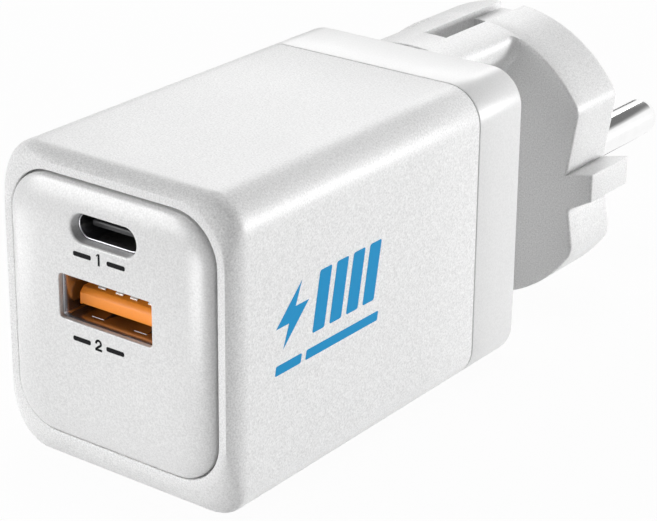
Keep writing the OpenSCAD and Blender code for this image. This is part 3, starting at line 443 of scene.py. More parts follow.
def panel_shape(s):
    """The port panel. Its face and back are one grid of lines that crowd together towards the edge, drawn onto the
    rounded outline; the grid leaves out a rectangle round each window, and rows of points lead from there over
    the window's rounded edge and through the wall to the back."""
    half = 7.7
    margin = 0.9
    spans = [(USB_A_Z, s.usb_a_window_h / 2 + margin), (USB_C_Z, s.usb_c_window_h / 2 + margin)]
    border = s.panel_border * np.linspace(0, 1, 15) ** 2
    lines = PANEL_W / 2 - border
    lines = lines[lines > half + 0.2]
    inner = np.linspace(-half, half, 31)
    x = np.concatenate([-lines, inner, lines[::-1]])
    low, high = PANEL_Z - PANEL_H / 2, PANEL_Z + PANEL_H / 2
    stops = [low + border[-1], spans[0][0] - spans[0][1], spans[0][0] + spans[0][1],
             spans[1][0] - spans[1][1], spans[1][0] + spans[1][1]]
    z = [low + border]
    for start, end in zip(stops[:-1], stops[1:]):
        z.append(np.linspace(start, end, max(2, round((end - start) / 0.5)) + 1)[1:])
    rise = high - border
    z.append(rise[rise > stops[-1] + 0.15][::-1])
    z = np.concatenate(z)
    nx, nz = len(x), len(z)
    flat = np.stack(np.meshgrid(x, z - PANEL_Z), -1)
    flat = pulled(flat, PANEL_W, PANEL_H, s.panel_corner) + [0, PANEL_Z]
    front = np.stack([flat[..., 0], face_height(s, flat[..., 0], flat[..., 1]), flat[..., 1]], -1).reshape(-1, 3)
    back = front.copy()
    back[:, 1] = SEAT_Y
    points = [front, back]
    cells = np.arange(nx * nz).reshape(nz, nx)
    keep = np.ones((nz - 1, nx - 1), bool)
    x_low, x_high = np.searchsorted(x, -half - 1e-6), np.searchsorted(x, half - 1e-6)
    holes = []
    for middle, reach in spans:
        z_low, z_high = np.searchsorted(z, middle - reach - 1e-6), np.searchsorted(z, middle + reach - 1e-6)
        keep[z_low:z_high, x_low:x_high] = False
        holes.append(np.concatenate([cells[z_low, x_low:x_high], cells[z_low:z_high, x_high],
                                     cells[z_high, x_high:x_low:-1], cells[z_high:z_low:-1, x_low]]))
    square = np.stack([cells[:-1, :-1], cells[:-1, 1:], cells[1:, 1:], cells[1:, :-1]], -1)[keep]
    n = nx * nz
    faces = [square, square[:, ::-1] + n]
    rim = np.concatenate([cells[0, :-1], cells[:-1, -1], cells[-1, :0:-1], cells[:0:-1, 0]])
    ahead = np.roll(rim, -1)
    faces.append(np.stack([rim, rim + n, ahead + n, ahead], -1))
    base = 2 * n
    windows = [
        (spans[0], s.usb_a_window_w, s.usb_a_window_h, s.usb_a_corner, s.usb_a_bevel,
         s.usb_a_w + 0.5, s.usb_a_h + 0.5, USB_A_FRONT_Y - 0.1),
        (spans[1], s.usb_c_window_w, s.usb_c_window_h, s.usb_c_window_h / 2, s.usb_c_bevel,
         s.usb_c_window_w, s.usb_c_window_h, SEAT_Y - 0.3),
    ]
    for loop, ((middle, reach), w, h, r, bevel, pocket_w, pocket_h, pocket_y) in zip(holes, windows):
        ring = front[loop][:, [0, 2]] - [0, middle]
        unit = ring / [half, reach]
        rows = []

        def outline(grow):
            size = np.array([w + 2 * grow, h + 2 * grow])
            return pulled(unit * size / 2, size[0], size[1], r + grow)

        def raised(loop_points):
            return face_height(s, loop_points[:, 0], loop_points[:, 1] + middle)

        edge = outline(bevel)
        for share in (0.4, 0.75, 0.92):
            mix = ring * (1 - share) + edge * share
            rows.append((mix, raised(mix)))
        for turn in np.radians((0, 22.5, 45, 67.5, 90)):
            mix = outline(bevel * (1 - math.sin(turn)))
            rows.append((mix, raised(mix) + bevel * (1 - math.cos(turn))))
        size = np.array([pocket_w, pocket_h])
        wide = pulled(unit * size / 2, pocket_w, pocket_h, min(r, pocket_h / 2))
        rows += [(outline(0), np.full(len(loop), pocket_y)), (wide, np.full(len(loop), pocket_y)),
                 (wide, np.full(len(loop), SEAT_Y))]
        if pocket_w == w:
            del rows[-2]
        grid = np.stack([np.stack([mix[:, 0], y, mix[:, 1] + middle], -1) for mix, y in rows])
        count, m = len(rows), len(loop)
        ids = np.concatenate([loop[None], base + np.arange(count * m).reshape(count, m), loop[None] + n])
        after = np.roll(ids, -1, axis=1)
        faces.append(np.stack([ids[:-1], after[:-1], after[1:], ids[1:]], -1).reshape(-1, 4))
        points.append(grid.reshape(-1, 3))
        base += count * m
    return np.concatenate(points), faces


def disc_outline(s, shrink, inward, groove_depth, ribbed=True):
    """Half outline of the plug disc from the bottom to the top on the right, mirrored to the left: a circle, shrunk
    by a distance, with a clip groove at both ends, turned in to a leaning waist above and below a guide rib. The
    rib's sides slope down to their roots, its outer face sits low by the drop, and it is smaller by the inward
    distance. Where it isn't ribbed, the rib ends at the waist."""
    radius = s.disc_r - shrink
    half = s.groove_half + shrink
    rib_half = s.rib_half - inward
    floor = math.sqrt(radius ** 2 - half ** 2) - groove_depth
    start = math.degrees(math.acos(half / radius))
    turn = math.asin(s.waist_half / s.disc_r)
    centre = (s.disc_r - s.waist_round) * np.array([math.cos(turn), math.sin(turn)])
    turn = math.degrees(turn)
    bend = arc(centre, s.waist_round - shrink, -WAIST_LEAN, turn, 12)
    low = bend[0]

    def foot_at(level):
        """Where the waist stands at a height above the middle."""
        return low[0] - (low[1] - level) * math.tan(math.radians(WAIST_LEAN))

    foot = foot_at(rib_half)
    reach = max(s.rib_x - inward if ribbed else 0, foot + 0.03)

    def root(ease, up, level):
        """The corner between waist and rib, eased over a short way on both sides."""
        corner = np.array([foot_at(level), level])
        along = (low - corner) / np.linalg.norm(low - corner)
        flank = np.array([reach, rib_half - up * s.rib_drop]) - corner
        share = min(ease / np.linalg.norm(flank), 0.5)
        return eased(corner + flank * share, corner, corner + along * ease, 6) * [1, up]

    level = rib_half - s.rib_root_top
    top = min(rib_half - s.rib_drop, level + RIB_CLIMB * (reach - foot_at(level)))
    edge = min(0.25, (reach - foot) * 0.4)
    tip = np.concatenate([arc([reach - edge, -rib_half - s.rib_drop + edge], edge, -90, 0, 4),
                          arc([reach - edge, top - edge], edge, 0, 90, 4)])
    groove = np.stack([np.linspace(0, half - 0.08, 4), np.full(4, floor)], -1)
    upper = np.concatenate([bend, arc([0, 0], radius, turn + 0.5, start, 40), groove[:0:-1]])
    right = np.concatenate([(upper * [1, -1])[::-1], root(0.7, -1, rib_half + s.rib_root_low)[::-1], tip,
                            root(0.12, 1, level), upper, [[0, floor]]])
    left = (right * [-1, 1])[::-1][1:]
    return np.concatenate([[[0, -floor]], right, left])


def neck_outline(s, shrink, groove):
    """Outline of the neck: the disc's circle at top and bottom, a round lobe at each corner whose underside leans in
    to a straight web, and a clip groove of the given depth in the middle."""
    radius = s.disc_r - max(shrink, 0)
    r = s.neck_lobe_r - shrink
    web = s.neck_waist - shrink
    lobe = np.array([s.neck_lobe_x, s.neck_lobe_z])
    away = np.linalg.norm(lobe)
    meet_turn = math.atan2(lobe[1], lobe[0]) - math.acos((radius ** 2 + away ** 2 - r ** 2) / (2 * radius * away))
    meet = radius * np.array([math.cos(meet_turn), math.sin(meet_turn)])
    side = arc(lobe, r, -LOBE_LEAN, math.degrees(math.atan2(meet[1] - lobe[1], meet[0] - lobe[0])), 16)
    corner = np.array([web, side[0][1] - (side[0][0] - web) / math.tan(math.radians(LOBE_LEAN))])
    slope = side[0] - corner
    run = np.linalg.norm(slope)
    ease = 1.4
    foot = corner - [0, ease]
    start = math.degrees(math.acos(s.groove_half / radius))
    top = arc([0, 0], radius, math.degrees(meet_turn), start, 10)[1:]
    across = np.linspace(s.groove_half, 0, 5)
    floor = np.stack([across, np.sqrt(radius ** 2 - across ** 2) - groove], -1)
    if groove == 0:
        # Keeps the groove's first point apart from the circle's last one.
        floor[0, 0] -= 0.02
    web_line = np.stack([np.full(6, web), np.linspace(0, foot[1], 7)[:-1]], -1)
    bend = eased(foot, corner, corner + slope / run * min(ease, run * 0.6), 8)
    upper = np.concatenate([web_line, bend, side, top, floor])
    lower = (upper * [1, -1])[::-1]
    right = np.concatenate([lower[:-1], upper])
    left = (right * [-1, 1])[::-1][1:-1]
    return np.concatenate([right, left])


def plug_shape(s):
    """The plug as four closed shells: the disc with its waist, ribs and grooves, the neck, the spigot in the cap's
    window and its hook behind the wall. Edges are quarter circles of the outline's inset against its place along y."""
    back, rib_end, groove_end = -s.disc_depth, -s.rib_setback, -s.groove_end
    back_edge, flare = s.disc_back_edge, s.neck_flare
    deep, shallow = s.groove_deep, s.groove_shallow
    # Place along y, the circle's shrink, the rib's inward distance, the groove's depth, and whether there is a rib.
    rows = [(back + a, b, b, deep, True) for a, b in quarter(back_edge, 0, 30, 60, 90)]
    rows += [(-s.groove_step, 0, 0, deep, True), (-s.groove_step + 0.01, 0, 0, shallow, True)]
    rows += [(rib_end - 0.2, 0, 0, shallow, True), (rib_end - 0.06, 0, 0.06, shallow, True),
             (rib_end, 0, RIB_EDGE, shallow, True), (rib_end + 0.001, 0, RIB_EDGE, shallow, False)]
    rows += [(-b, a, RIB_EDGE, shallow, False) for a, b in quarter(s.disc_front_edge, 15, 30, 45, 60, 75, 90)]
    disc = [at_y(disc_outline(s, *given), y) for y, *given in rows]
    # Place along y, the outline's shrink and the groove's depth.
    rows = [(CAP_BACK_Y + 0.02, 0.12, 0), (CAP_BACK_Y + 0.14, 0, 0), (groove_end - 0.15, 0, 0),
            (groove_end - 0.03, 0, 0.03), (groove_end, 0, 0.15), (groove_end + 0.05, 0, deep), (back - flare, 0, deep)]
    rows += [(back - b, -a, deep) for a, b in quarter(flare, 20, 40, 55)]
    rows += [(back - 0.02, -flare * 0.8, deep), (back + back_edge - 0.005, -flare, deep)]
    neck = [at_y(neck_outline(s, *given), y) for y, *given in rows]
    behind_y = CAP_BACK_Y - s.cap_wall - LIP_GAP
    spigot = [at_y(rounded_loop(*SPIGOT), y) for y in (CAP_BACK_Y + 0.5, behind_y)]
    hook = [at_y(rounded_loop(*SPIGOT_HOOK), y) for y in (behind_y, box("plug_body")[0, 1])]
    return joined(skin(disc), skin(neck), skin(spigot, flip=True), skin(hook, flip=True))


def pin_shape(s, side):
    """A mains pin: a narrower root inside the disc, a straight round shank, and a tip that follows a quarter
    circle to a small flat end."""
    profile = [(PIN_ROOT_Y, 0), (PIN_ROOT_Y, s.pin_root_r), (-0.05, s.pin_root_r), (-0.04, s.pin_r), (4, s.pin_r),
               (10, s.pin_r)]
    profile += [(PIN_END_Y - b, s.pin_r - a) for a, b in quarter(s.pin_tip, *np.linspace(0, 90, 12))]
    return turned(profile + [(PIN_END_Y, 0)], centre=(side * PIN_X, 0))


def usb_a_floor(s):
    """Height of the lower receptacle's inner floor."""
    return USB_A_Z - s.usb_a_h / 2 + s.usb_a_sheet


def strip(y, low, high, x, half):
    """A closed strip between a lower and an upper line over y, carried across to a half width on both sides of x."""
    outline = np.concatenate([np.stack([y, low], -1), np.stack([y, high], -1)[::-1]])
    return skin([at_x(outline, x + half * side) for side in (-1, 1)], flip=True)


def usb_a_shell_shape(s):
    """The lower receptacle's sheet shell as one closed profile whose front lip slopes from the window's edge to the
    inner walls, with two sprung tabs in its floor that rise and fall as a power of a half sine wave."""
    w, h, t = s.usb_a_w, s.usb_a_h, s.usb_a_sheet
    profile = ((-0.06, 0), (0, 0.08), (0, None), (-t, None), (-t, 0.75), (-t * 0.8, 0.5), (-t * 0.45, 0.1))
    stations = [at_y(rounded_loop(w + 2 * grow, h + 2 * grow, max(0.7 + grow, 0.15), USB_A_Z, corner=6),
                     PORT_BACK_Y if depth is None else USB_A_FRONT_Y + depth) for grow, depth in profile]
    way = np.linspace(0, 1, 17)
    lift = usb_a_floor(s) + 0.55 * np.sin(math.pi * way) ** 1.4 - 0.05
    tabs = [strip(USB_A_FRONT_Y + 1.5 + 7 * way, lift - 0.12, lift + 0.08, x, 0.85) for x in (-3.0, 3.0)]
    return joined(skin(stations, closed=True), *tabs)


def usb_c_shell_shape(s):
    """The upper receptacle's oval sheet shell as one closed profile with rounded front edges."""
    w, h, t = s.usb_c_w, s.usb_c_h, s.usb_c_sheet
    bend = quarter(t / 2, 0, 30, 60, 90)
    profile = [(-b, USB_C_FRONT_Y + a) for a, b in bend] + [(0, PORT_BACK_Y), (-t, PORT_BACK_Y)]
    profile += [(b - t, USB_C_FRONT_Y + a) for a, b in bend[:0:-1]]
    return skin([at_y(rounded_loop(w + 2 * grow, h + 2 * grow, h / 2 + grow - 0.001, USB_C_Z, corner=14, side=3), y)
                 for grow, y in profile], closed=True)


def bar_across(profile, half, edge):
    """A bar with one section in y and z, carried across x from -half to half with rounded ends."""
    ends = quarter(edge, 0, 45, 90)
    stations = [at_x(inset(profile, b), a - half) for a, b in ends]
    return skin(stations + [at_x(inset(profile, b), half - a) for a, b in ends[::-1]])


def usb_a_tongue_shape(s):
    """The lower tongue, thin at its front and chamfered up to full height, and the block that carries it."""
    low = usb_a_floor(s) + TONGUE_LIFT
    high = low + TONGUE_HEIGHT
    front, block = USB_A_FRONT_Y + 1.7, PORT_BACK_Y - PORT_BLOCK
    section = np.array([[front + 0.12, low], [block, low], [block, high], [front + 0.6, high],
                        [front + 0.52, high - 0.04], [front + 0.04, high - 0.5], [front, high - 0.58],
                        [front, low + 0.12]])[::-1]
    base = [at_y(rounded_loop(12.3, 4.9, 0.3, USB_A_Z, corner=4, side=2), y) for y in (block, PORT_BACK_Y)]
    return joined(bar_across(section, 5.55, 0.12), skin(base))


def usb_a_contact_shape(s):
    """Four plated strips on the lower tongue. Each runs along y, its rounded front end bent down into the tongue."""
    y = USB_A_FRONT_Y + np.array([2.75, 2.8, 2.95, 3.15, 3.45, 3.8, 4.1, 7.0, 11.3])
    rise = np.array([-0.1, 0.12, 0.24, 0.28, 0.26, 0.12, 0.02, 0.02, 0.02])
    top = usb_a_floor(s) + TONGUE_LIFT + TONGUE_HEIGHT + rise
    return joined(*[strip(y, top - 0.14, top, x, 0.5) for x in (-3.5, -1.0, 1.0, 3.5)])


def usb_c_tongue_shape(s):
    """The upper tongue with rounded front corners, and the oval block behind it."""
    front, block = USB_C_FRONT_Y + 1.0, PORT_BACK_Y - PORT_BLOCK
    stations = [at_y(rounded_loop(6.69 - 2 * e, 0.7 - 2 * e, 0.3 - e, USB_C_Z, corner=5, side=4), y)
                for e, y in ((0.16, front), (0.05, front + 0.06), (0, front + 0.16), (0, block))]
    base = [at_y(rounded_loop(8.24, 2.46, 1.2, USB_C_Z, corner=10, side=3), y) for y in (block, PORT_BACK_Y)]
    return joined(skin(stations), skin(base))


def usb_c_contact_shape(s):
    """Two rows of twelve gold strips on the upper tongue, half a millimetre apart."""
    ends = (USB_C_FRONT_Y + 1.5, PORT_BACK_Y - PORT_BLOCK)
    loops = [rounded_loop(0.26, 0.1, 0.03, USB_C_Z + up * 0.38, corner=2, side=1) + [x, 0]
             for up in (-1, 1) for x in (np.arange(12) - 5.5) * 0.5]
    return joined(*[skin([at_y(loop, y) for y in ends]) for loop in loops])


def slab(outline, place):
    """A thin closed plate from a flat outline. Place turns flat points and a height into points in space."""
    return skin([place(outline, 1.0), place(outline, 0.0)])


def bar(x0, x1, z0, z1, slant=0.0, r=0.0):
    """Outline of a bar, its upper side moved along by the slant, with rounded corners."""
    w, h = x1 - x0, z1 - z0
    loop = rounded_loop(w, h, max(r, 0.02), corner=5, side=1)
    loop = loop + [(x0 + x1) / 2, (z0 + z1) / 2]
    return loop + np.stack([(loop[:, 1] - z0) * slant, np.zeros(len(loop))], -1)


def stroke(path, width):
    """Outline of a line of even width drawn along a path of points."""
    path = np.array(path, float)
    ahead = np.gradient(path, axis=0)
    ahead /= np.linalg.norm(ahead, axis=1, keepdims=True)
    side = np.stack([-ahead[:, 1], ahead[:, 0]], -1) * width / 2
    return np.concatenate([path - side, (path + side)[::-1]])


def numeral(which, x, z, tall):
    """Outlines of a plain 1 or 2, drawn with straight and round strokes of even width."""
    thick = tall * 0.2
    if which == 1:
        marks = [bar(x - thick / 2, x + thick / 2, z, z + tall),
                 np.array([[x - tall * 0.26, z + tall * 0.72], [x - thick / 2, z + tall * 0.86],
                           [x - thick / 2, z + tall], [x - tall * 0.26, z + tall * 0.84]])]
    else:
        r = tall * 0.25
        bow = arc([x, z + tall - r - thick / 2], r, 190, -30, 16)
        path = np.concatenate([bow, [[x - tall * 0.12, z + tall * 0.28], [x - tall * 0.3, z + thick / 2]]])
        marks = [stroke(path, thick)[::-1], bar(x - tall * 0.36, x + tall * 0.36, z, z + thick)]
    return marks


def port_marks_shape(s):
    """Small marks under the ports on the panel's flat face: a plain number between two short bars."""
    def place(outline, height):
        return at_y(outline, FACE_Y - s.print_height * height)

    marks = []
    for which, z, x in ((1, 7.85, -0.6), (2, -2.0, -1.0)):
        marks += numeral(which, x, z, 1.35)
        marks += [bar(start, start + 2.5, z + 0.33, z + 0.87, r=0.2) for start in (x - 3.6, x + 1.1)]
    return joined(*[slab(m, place) for m in marks])


def side_marks_shape(s):
    """Marks on the body's right side: a bolt and four slanted bars over a thin broken line."""
    def place(outline, height):
        return at_x(outline + [RIM_Y, 0], BODY_W / 2 + s.print_height * height)

    slant = 0.2
    marks = [np.array([[7.0, 2.3], [9.2, 2.3], [8.2, -0.3], [12.6, 3.9], [10.3, 3.9], [11.4, 6.5]])]
    marks += [bar(y, y + 2.1, -0.3, 6.5, slant, 0.25) for y in 13.2 + 3.0 * np.arange(4)]
    marks += [bar(start, end, -3.0, -1.9, slant, 0.2) for start, end in ((6.8, 11.2), (12.0, 25.0))]
    return joined(*[slab(m, place) for m in marks])


# ---------------------------------------------------------------- finishes


def add_node(tree, kind, inputs=None, **settings):
    """Adds a node, sets it up and gives each named input a value or a link."""
    node = tree.nodes.new(kind)
    for key, value in settings.items():
        setattr(node, key, value)
    for key, value in (inputs or {}).items():
        if isinstance(value, bpy.types.NodeSocket):
            tree.links.new(value, node.inputs[key])
        else:
            node.inputs[key].default_value = value
    return node


def calculate(tree, operation, *values):
    """The result of a Math node on plain numbers and sockets."""
    return add_node(tree, "ShaderNodeMath", dict(enumerate(values)), operation=operation).outputs[0]


def noise(tree, place, scale, detail):
    """A noise between 0 and 1 at a place."""
    return add_node(tree, "ShaderNodeTexNoise", {"Vector": place, "Scale": scale, "Detail": detail}).outputs["Fac"]


def new_material(name):
    """A new material and its node tree."""
    material = bpy.data.materials.new(name)
    material.use_nodes = True
    return material, material.node_tree


def open_group(name, tone, extras, roughness, unevenness):
    """An empty node group for a finish, its inputs and its outputs. A place, a colour, the extra inputs and an
    uneven roughness go in, and a colour, a roughness and a height come out."""
    group = bpy.data.node_groups.new(name, "ShaderNodeTree")
    sockets = [("Vector", "Vector", None), ("Color", "Color", (tone, tone, tone, 1)), *extras,
               ("Roughness", "Float", roughness), ("Unevenness", "Float", unevenness)]
    for label, kind, value in sockets:
        socket = group.interface.new_socket(label, in_out="INPUT", socket_type="NodeSocket" + kind)
        if value is not None:
            socket.default_value = value
    for label, kind in (("Color", "Color"), ("Roughness", "Float"), ("Height", "Float")):
        group.interface.new_socket(label, in_out="OUTPUT", socket_type="NodeSocket" + kind)
    return group, group.nodes.new("NodeGroupInput").outputs, group.nodes.new("NodeGroupOutput").inputs


def close_group(group, given, out, swing, tone, height):
    """Sends out the colour scaled by the tone, the roughness moved by the swing times its unevenness, and a height."""
    tint = add_node(group, "ShaderNodeVectorMath", {0: given["Color"], "Scale": tone}, operation="SCALE")
    rough = calculate(group, "MULTIPLY_ADD", swing, given["Unevenness"], given["Roughness"])
    for label, socket in (("Color", tint.outputs[0]), ("Roughness", rough), ("Height", height)):
        group.links.new(socket, out[label])
    return group


def moulding_grain():
    """Group for moulded plastic: a fine spark-eroded grain as a height and a faint speckle in the colour, and a
    broad unevenness of the gloss."""
    extras = [("Grain Scale", "Float", 6000.0), ("Speckle", "Float", 0.05)]
    group, given, out = open_group("moulding_grain", 0.8, extras, 0.5, 0.05)
    fine = noise(group, given["Vector"], given["Grain Scale"], 2.0)
    speck = calculate(group, "MULTIPLY", calculate(group, "SUBTRACT", fine, 0.5), given["Speckle"])
    swing = calculate(group, "SUBTRACT", noise(group, given["Vector"], 120.0, 3.0), 0.5)
    return close_group(group, given, out, swing, calculate(group, "ADD", speck, 1.0), fine)


def rolled_metal():
    """Group for sheet and plated metal: fine drawn lines along y as a height, and a patchy gloss."""
    extras = [("Stretch", "Vector", (4000.0, 200.0, 4000.0))]
    group, given, out = open_group("rolled_metal", 0.7, extras, 0.25, 0.1)
    drawn = add_node(group, "ShaderNodeVectorMath", {0: given["Vector"], 1: given["Stretch"]}, operation="MULTIPLY")
    lines = noise(group, drawn.outputs[0], 1.0, 3.0)
    swing = calculate(group, "SUBTRACT", noise(group, given["Vector"], 300.0, 4.0), 0.5)
    return close_group(group, given, out, swing, calculate(group, "MULTIPLY_ADD", swing, 0.12, 1.0), lines)


FINISHES = {}


def finish(name, group, colour_value, roughness, bump=0.1, depth=0.02, plain=None, **given):
    """Makes a material from one of the shared groups. Plain holds fixed values set on the shader itself, given holds
    the group's own inputs, and depth is the bump's height in millimetres."""
    material, tree = new_material(name)
    shader = tree.nodes["Principled BSDF"]
    place = add_node(tree, "ShaderNodeTexCoord")
    effect = add_node(tree, "ShaderNodeGroup", node_tree=group)
    tree.links.new(place.outputs["Object"], effect.inputs["Vector"])
    given = {"Color": (*colour_value, 1), "Roughness": roughness, **given}
    for key, value in given.items():
        effect.inputs[key.replace("_", " ").title()].default_value = value
    relief = add_node(tree, "ShaderNodeBump", {"Strength": bump, "Distance": depth * MM,
                                               "Height": effect.outputs["Height"]})
    for source, label, key in ((effect, "Color", "Base Color"), (effect, "Roughness", "Roughness"),
                               (relief, "Normal", "Normal")):
        tree.links.new(source.outputs[label], shader.inputs[key])
    for key, value in (plain or {}).items():
        shader.inputs[key].default_value = value
    FINISHES[name] = material


def make_finishes(c):
    """Makes all the finishes. Outer whites, port and print colours come from the colour settings."""
    grain, metal = moulding_grain(), rolled_metal()
    bare = {"Metallic": 1.0}
    finish("sleeve_white", grain, c.sleeve, 0.42, 0.34, 0.03, grain_scale=WHITE_GRAIN, speckle=0.75)
    finish("panel_white", grain, c.panel, 0.3, 0.3, 0.02, {"IOR": 1.8}, grain_scale=WHITE_GRAIN, speckle=0.6)
    finish("cap_white", grain, c.cap, 0.36, 0.2, 0.02, grain_scale=WHITE_GRAIN, speckle=0.25)
    finish("plug_white", grain, c.plug, 0.42, 0.5, 0.03, grain_scale=WHITE_GRAIN, speckle=0.65)
    finish("pin_metal", metal, (0.95, 0.95, 0.95), 0.10, 0.05, 0.004, bare, unevenness=0.05)
    finish("port_steel", metal, (0.42, 0.42, 0.44), 0.24, 0.1, 0.005, bare)
    finish("insulator_orange", grain, c.orange, 0.4, 0.15, 0.01, speckle=0.08)
    finish("insulator_dark", grain, c.dark, 0.35, 0.15, 0.01)
    finish("contact_brass", metal, (0.85, 0.80, 0.66), 0.2, 0.05, 0.004, bare)
    finish("side_blue", grain, c.blue, 0.5, 0.2, 0.01, {"IOR": 1.25}, speckle=0.1)
    finish("port_black", grain, c.black, 0.6, 0.2, 0.01, {"IOR": 1.2})
    finish("contact_tin", metal, (0.93, 0.93, 0.90), 0.3, 0.05, 0.004, {"Metallic": 0.4})
    finish("board_green", grain, (0.02, 0.16, 0.06), 0.35, grain_scale=1500.0)
    finish("ferrite", grain, (0.03, 0.03, 0.033), 0.6, 0.3, 0.03, grain_scale=4000.0, speckle=0.4)
    finish("bobbin_plastic", grain, (0.68, 0.62, 0.48), 0.5)
    finish("winding_copper", metal, (0.55, 0.20, 0.08), 0.3, 0.5, 0.05, {"Metallic": 0.9},
           stretch=(6000.0, 6000.0, 9000.0))
    finish("capacitor_can", grain, (0.05, 0.09, 0.16), 0.35, 0.1, 0.01)
    finish("film_capacitor", grain, (0.70, 0.40, 0.03), 0.3, 0.1, 0.01)
    finish("ceramic_disc", grain, (0.02, 0.09, 0.35), 0.4, 0.3, 0.05, grain_scale=900.0)
    finish("fuse_ceramic", grain, (0.55, 0.42, 0.26), 0.35)
    finish("chip_black", grain, (0.02, 0.02, 0.02), 0.55, 0.3)
    finish("pad_rubber", grain, (0.60, 0.32, 0.35), 0.7, 0.3, 0.03)
    finish("spreader_aluminium", metal, (0.70, 0.71, 0.73), 0.35, 0.2, 0.01, bare)
    finish("insulation_film", grain, (0.72, 0.58, 0.22), 0.3, 0.1, 0.01)


# ---------------------------------------------------------------- operators


class CHARGER_OT_finishes(bpy.types.Operator):
    """Makes the finishes and puts them on the inner parts"""

    bl_idname = "charger.finishes"
    bl_label = "Finishes"

    def execute(self, context):
        make_finishes(context.scene.charger_colours)
        for row in frame["record"]["subparts"]:
            node = frame["nodes"][row["node"]]
            node.data.materials.clear()
            node.data.materials.append(FINISHES[row["material_slot"]])
        return {"FINISHED"}


class CHARGER_OT_sleeve(bpy.types.Operator):
    """Builds the matt sleeve with its flat rim and recess"""

    bl_idname = "charger.sleeve"
    bl_label = "Sleeve"

    def execute(self, context):
        put_piece("sleeve", sleeve_shape(in_millimetres(context)), "sleeve_white", "main_shell")
        return {"FINISHED"}


class CHARGER_OT_panel(bpy.types.Operator):
    """Builds the pillowed port panel with its two windows"""

    bl_idname = "charger.panel"
    bl_label = "Port panel"

    def execute(self, context):
        put_piece("panel", panel_shape(in_millimetres(context)), "panel_white", "port_panel")
        return {"FINISHED"}


class CHARGER_OT_cap(bpy.types.Operator):
    """Builds the smooth rear cap"""

    bl_idname = "charger.cap"
    bl_label = "Rear cap"

    def execute(self, context):
        put_piece("cap", cap_shape(in_millimetres(context)), "cap_white", "rear_cap")
        return {"FINISHED"}


class CHARGER_OT_plug(bpy.types.Operator):
    """Builds the plug disc, its neck and the two mains pins"""

    bl_idname = "charger.plug"
    bl_label = "Plug"

    def execute(self, context):
        s = in_millimetres(context)
        put_piece("plug", plug_shape(s), "plug_white", "plug_body")
        for label, side in (("left", -1), ("right", 1)):
            put_piece(f"mains_pin_{label}", pin_shape(s, side), "pin_metal", f"pin_{label}")
        return {"FINISHED"}


class CHARGER_OT_ports(bpy.types.Operator):
    """Builds both receptacles: shells, tongues and contacts"""

    bl_idname = "charger.ports"
    bl_label = "Ports"

    def execute(self, context):
        s = in_millimetres(context)
        put_piece("lower_shell", usb_a_shell_shape(s), "port_steel", "usb_a_shell")
        put_piece("lower_tongue", usb_a_tongue_shape(s), "insulator_orange", "usb_a_tongue")
        put_piece("lower_contacts", usb_a_contact_shape(s), "contact_tin", "usb_a_contacts")
        put_piece("upper_shell", usb_c_shell_shape(s), "port_steel", "usb_c_shell")
        put_piece("upper_tongue", usb_c_tongue_shape(s), "insulator_dark", "usb_c_tongue")
        put_piece("upper_contacts", usb_c_contact_shape(s), "contact_brass", "usb_c_contacts")
        return {"FINISHED"}


class CHARGER_OT_marks(bpy.types.Operator):
    """Adds the plain printed marks on the panel and the side"""

    bl_idname = "charger.marks"
    bl_label = "Printed marks"

    def execute(self, context):
        s = in_millimetres(context)
        put_piece("port_marks", port_marks_shape(s), "port_black")
        put_piece("side_marks", side_marks_shape(s), "side_blue")
        return {"FINISHED"}


def aim(obj, place, target, roll=0.0):
    """Puts an object at a place and turns its -Z towards the target, then rolls it about that line."""
    forward = (Vector(target) - Vector(place)).normalized()
    right = forward.cross(Vector((0, 0, 1))).normalized()
    up = right.cross(forward)
    turned_right = right * math.cos(roll) + up * math.sin(roll)
    turned_up = up * math.cos(roll) - right * math.sin(roll)
    obj.matrix_world = Matrix.Translation(Vector(place)) @ Matrix(
        (turned_right, turned_up, -forward)).transposed().to_4x4()


def add_lamp(name, place, target, width, height, radiance):
    """A soft rectangular lamp whose strength is given as the brightness of its face."""
    data = bpy.data.lights.new(name, "AREA")
    data.shape = "RECTANGLE"
    data.size, data.size_y = width, height
    data.energy = radiance * math.pi * width * height
    lamp = bpy.data.objects.new(name, data)
    lamp.visible_camera = False
    bpy.context.scene.collection.objects.link(lamp)
    aim(lamp, place, target)


def around(azimuth, elevation, distance):
    """A place at an azimuth from -y towards +x and an elevation, both in degrees, at a distance in metres."""
    a, e = math.radians(azimuth), math.radians(elevation)
    return distance * Vector((math.sin(a) * math.cos(e), -math.cos(a) * math.cos(e), math.sin(e)))


def direct_rays(tree):
    """A socket that is 1 for rays that show a thing itself: seen by the camera, mirrored, or through glass."""
    seen = add_node(tree, "ShaderNodeLightPath").outputs
    direct = calculate(tree, "MAXIMUM", seen["Is Camera Ray"], seen["Is Glossy Ray"])
    return calculate(tree, "MAXIMUM", direct, seen["Is Transmission Ray"])


def stage_sheet(name, corners, material):
    """One flat face of the stage through four corners."""
    mesh = bpy.data.meshes.new(name)
    mesh.from_pydata(corners, [], [(0, 1, 2, 3)])
    mesh.materials.append(material)
    sheet = bpy.data.objects.new(name, mesh)
    bpy.context.scene.collection.objects.link(sheet)
    sheet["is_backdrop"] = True
    return sheet


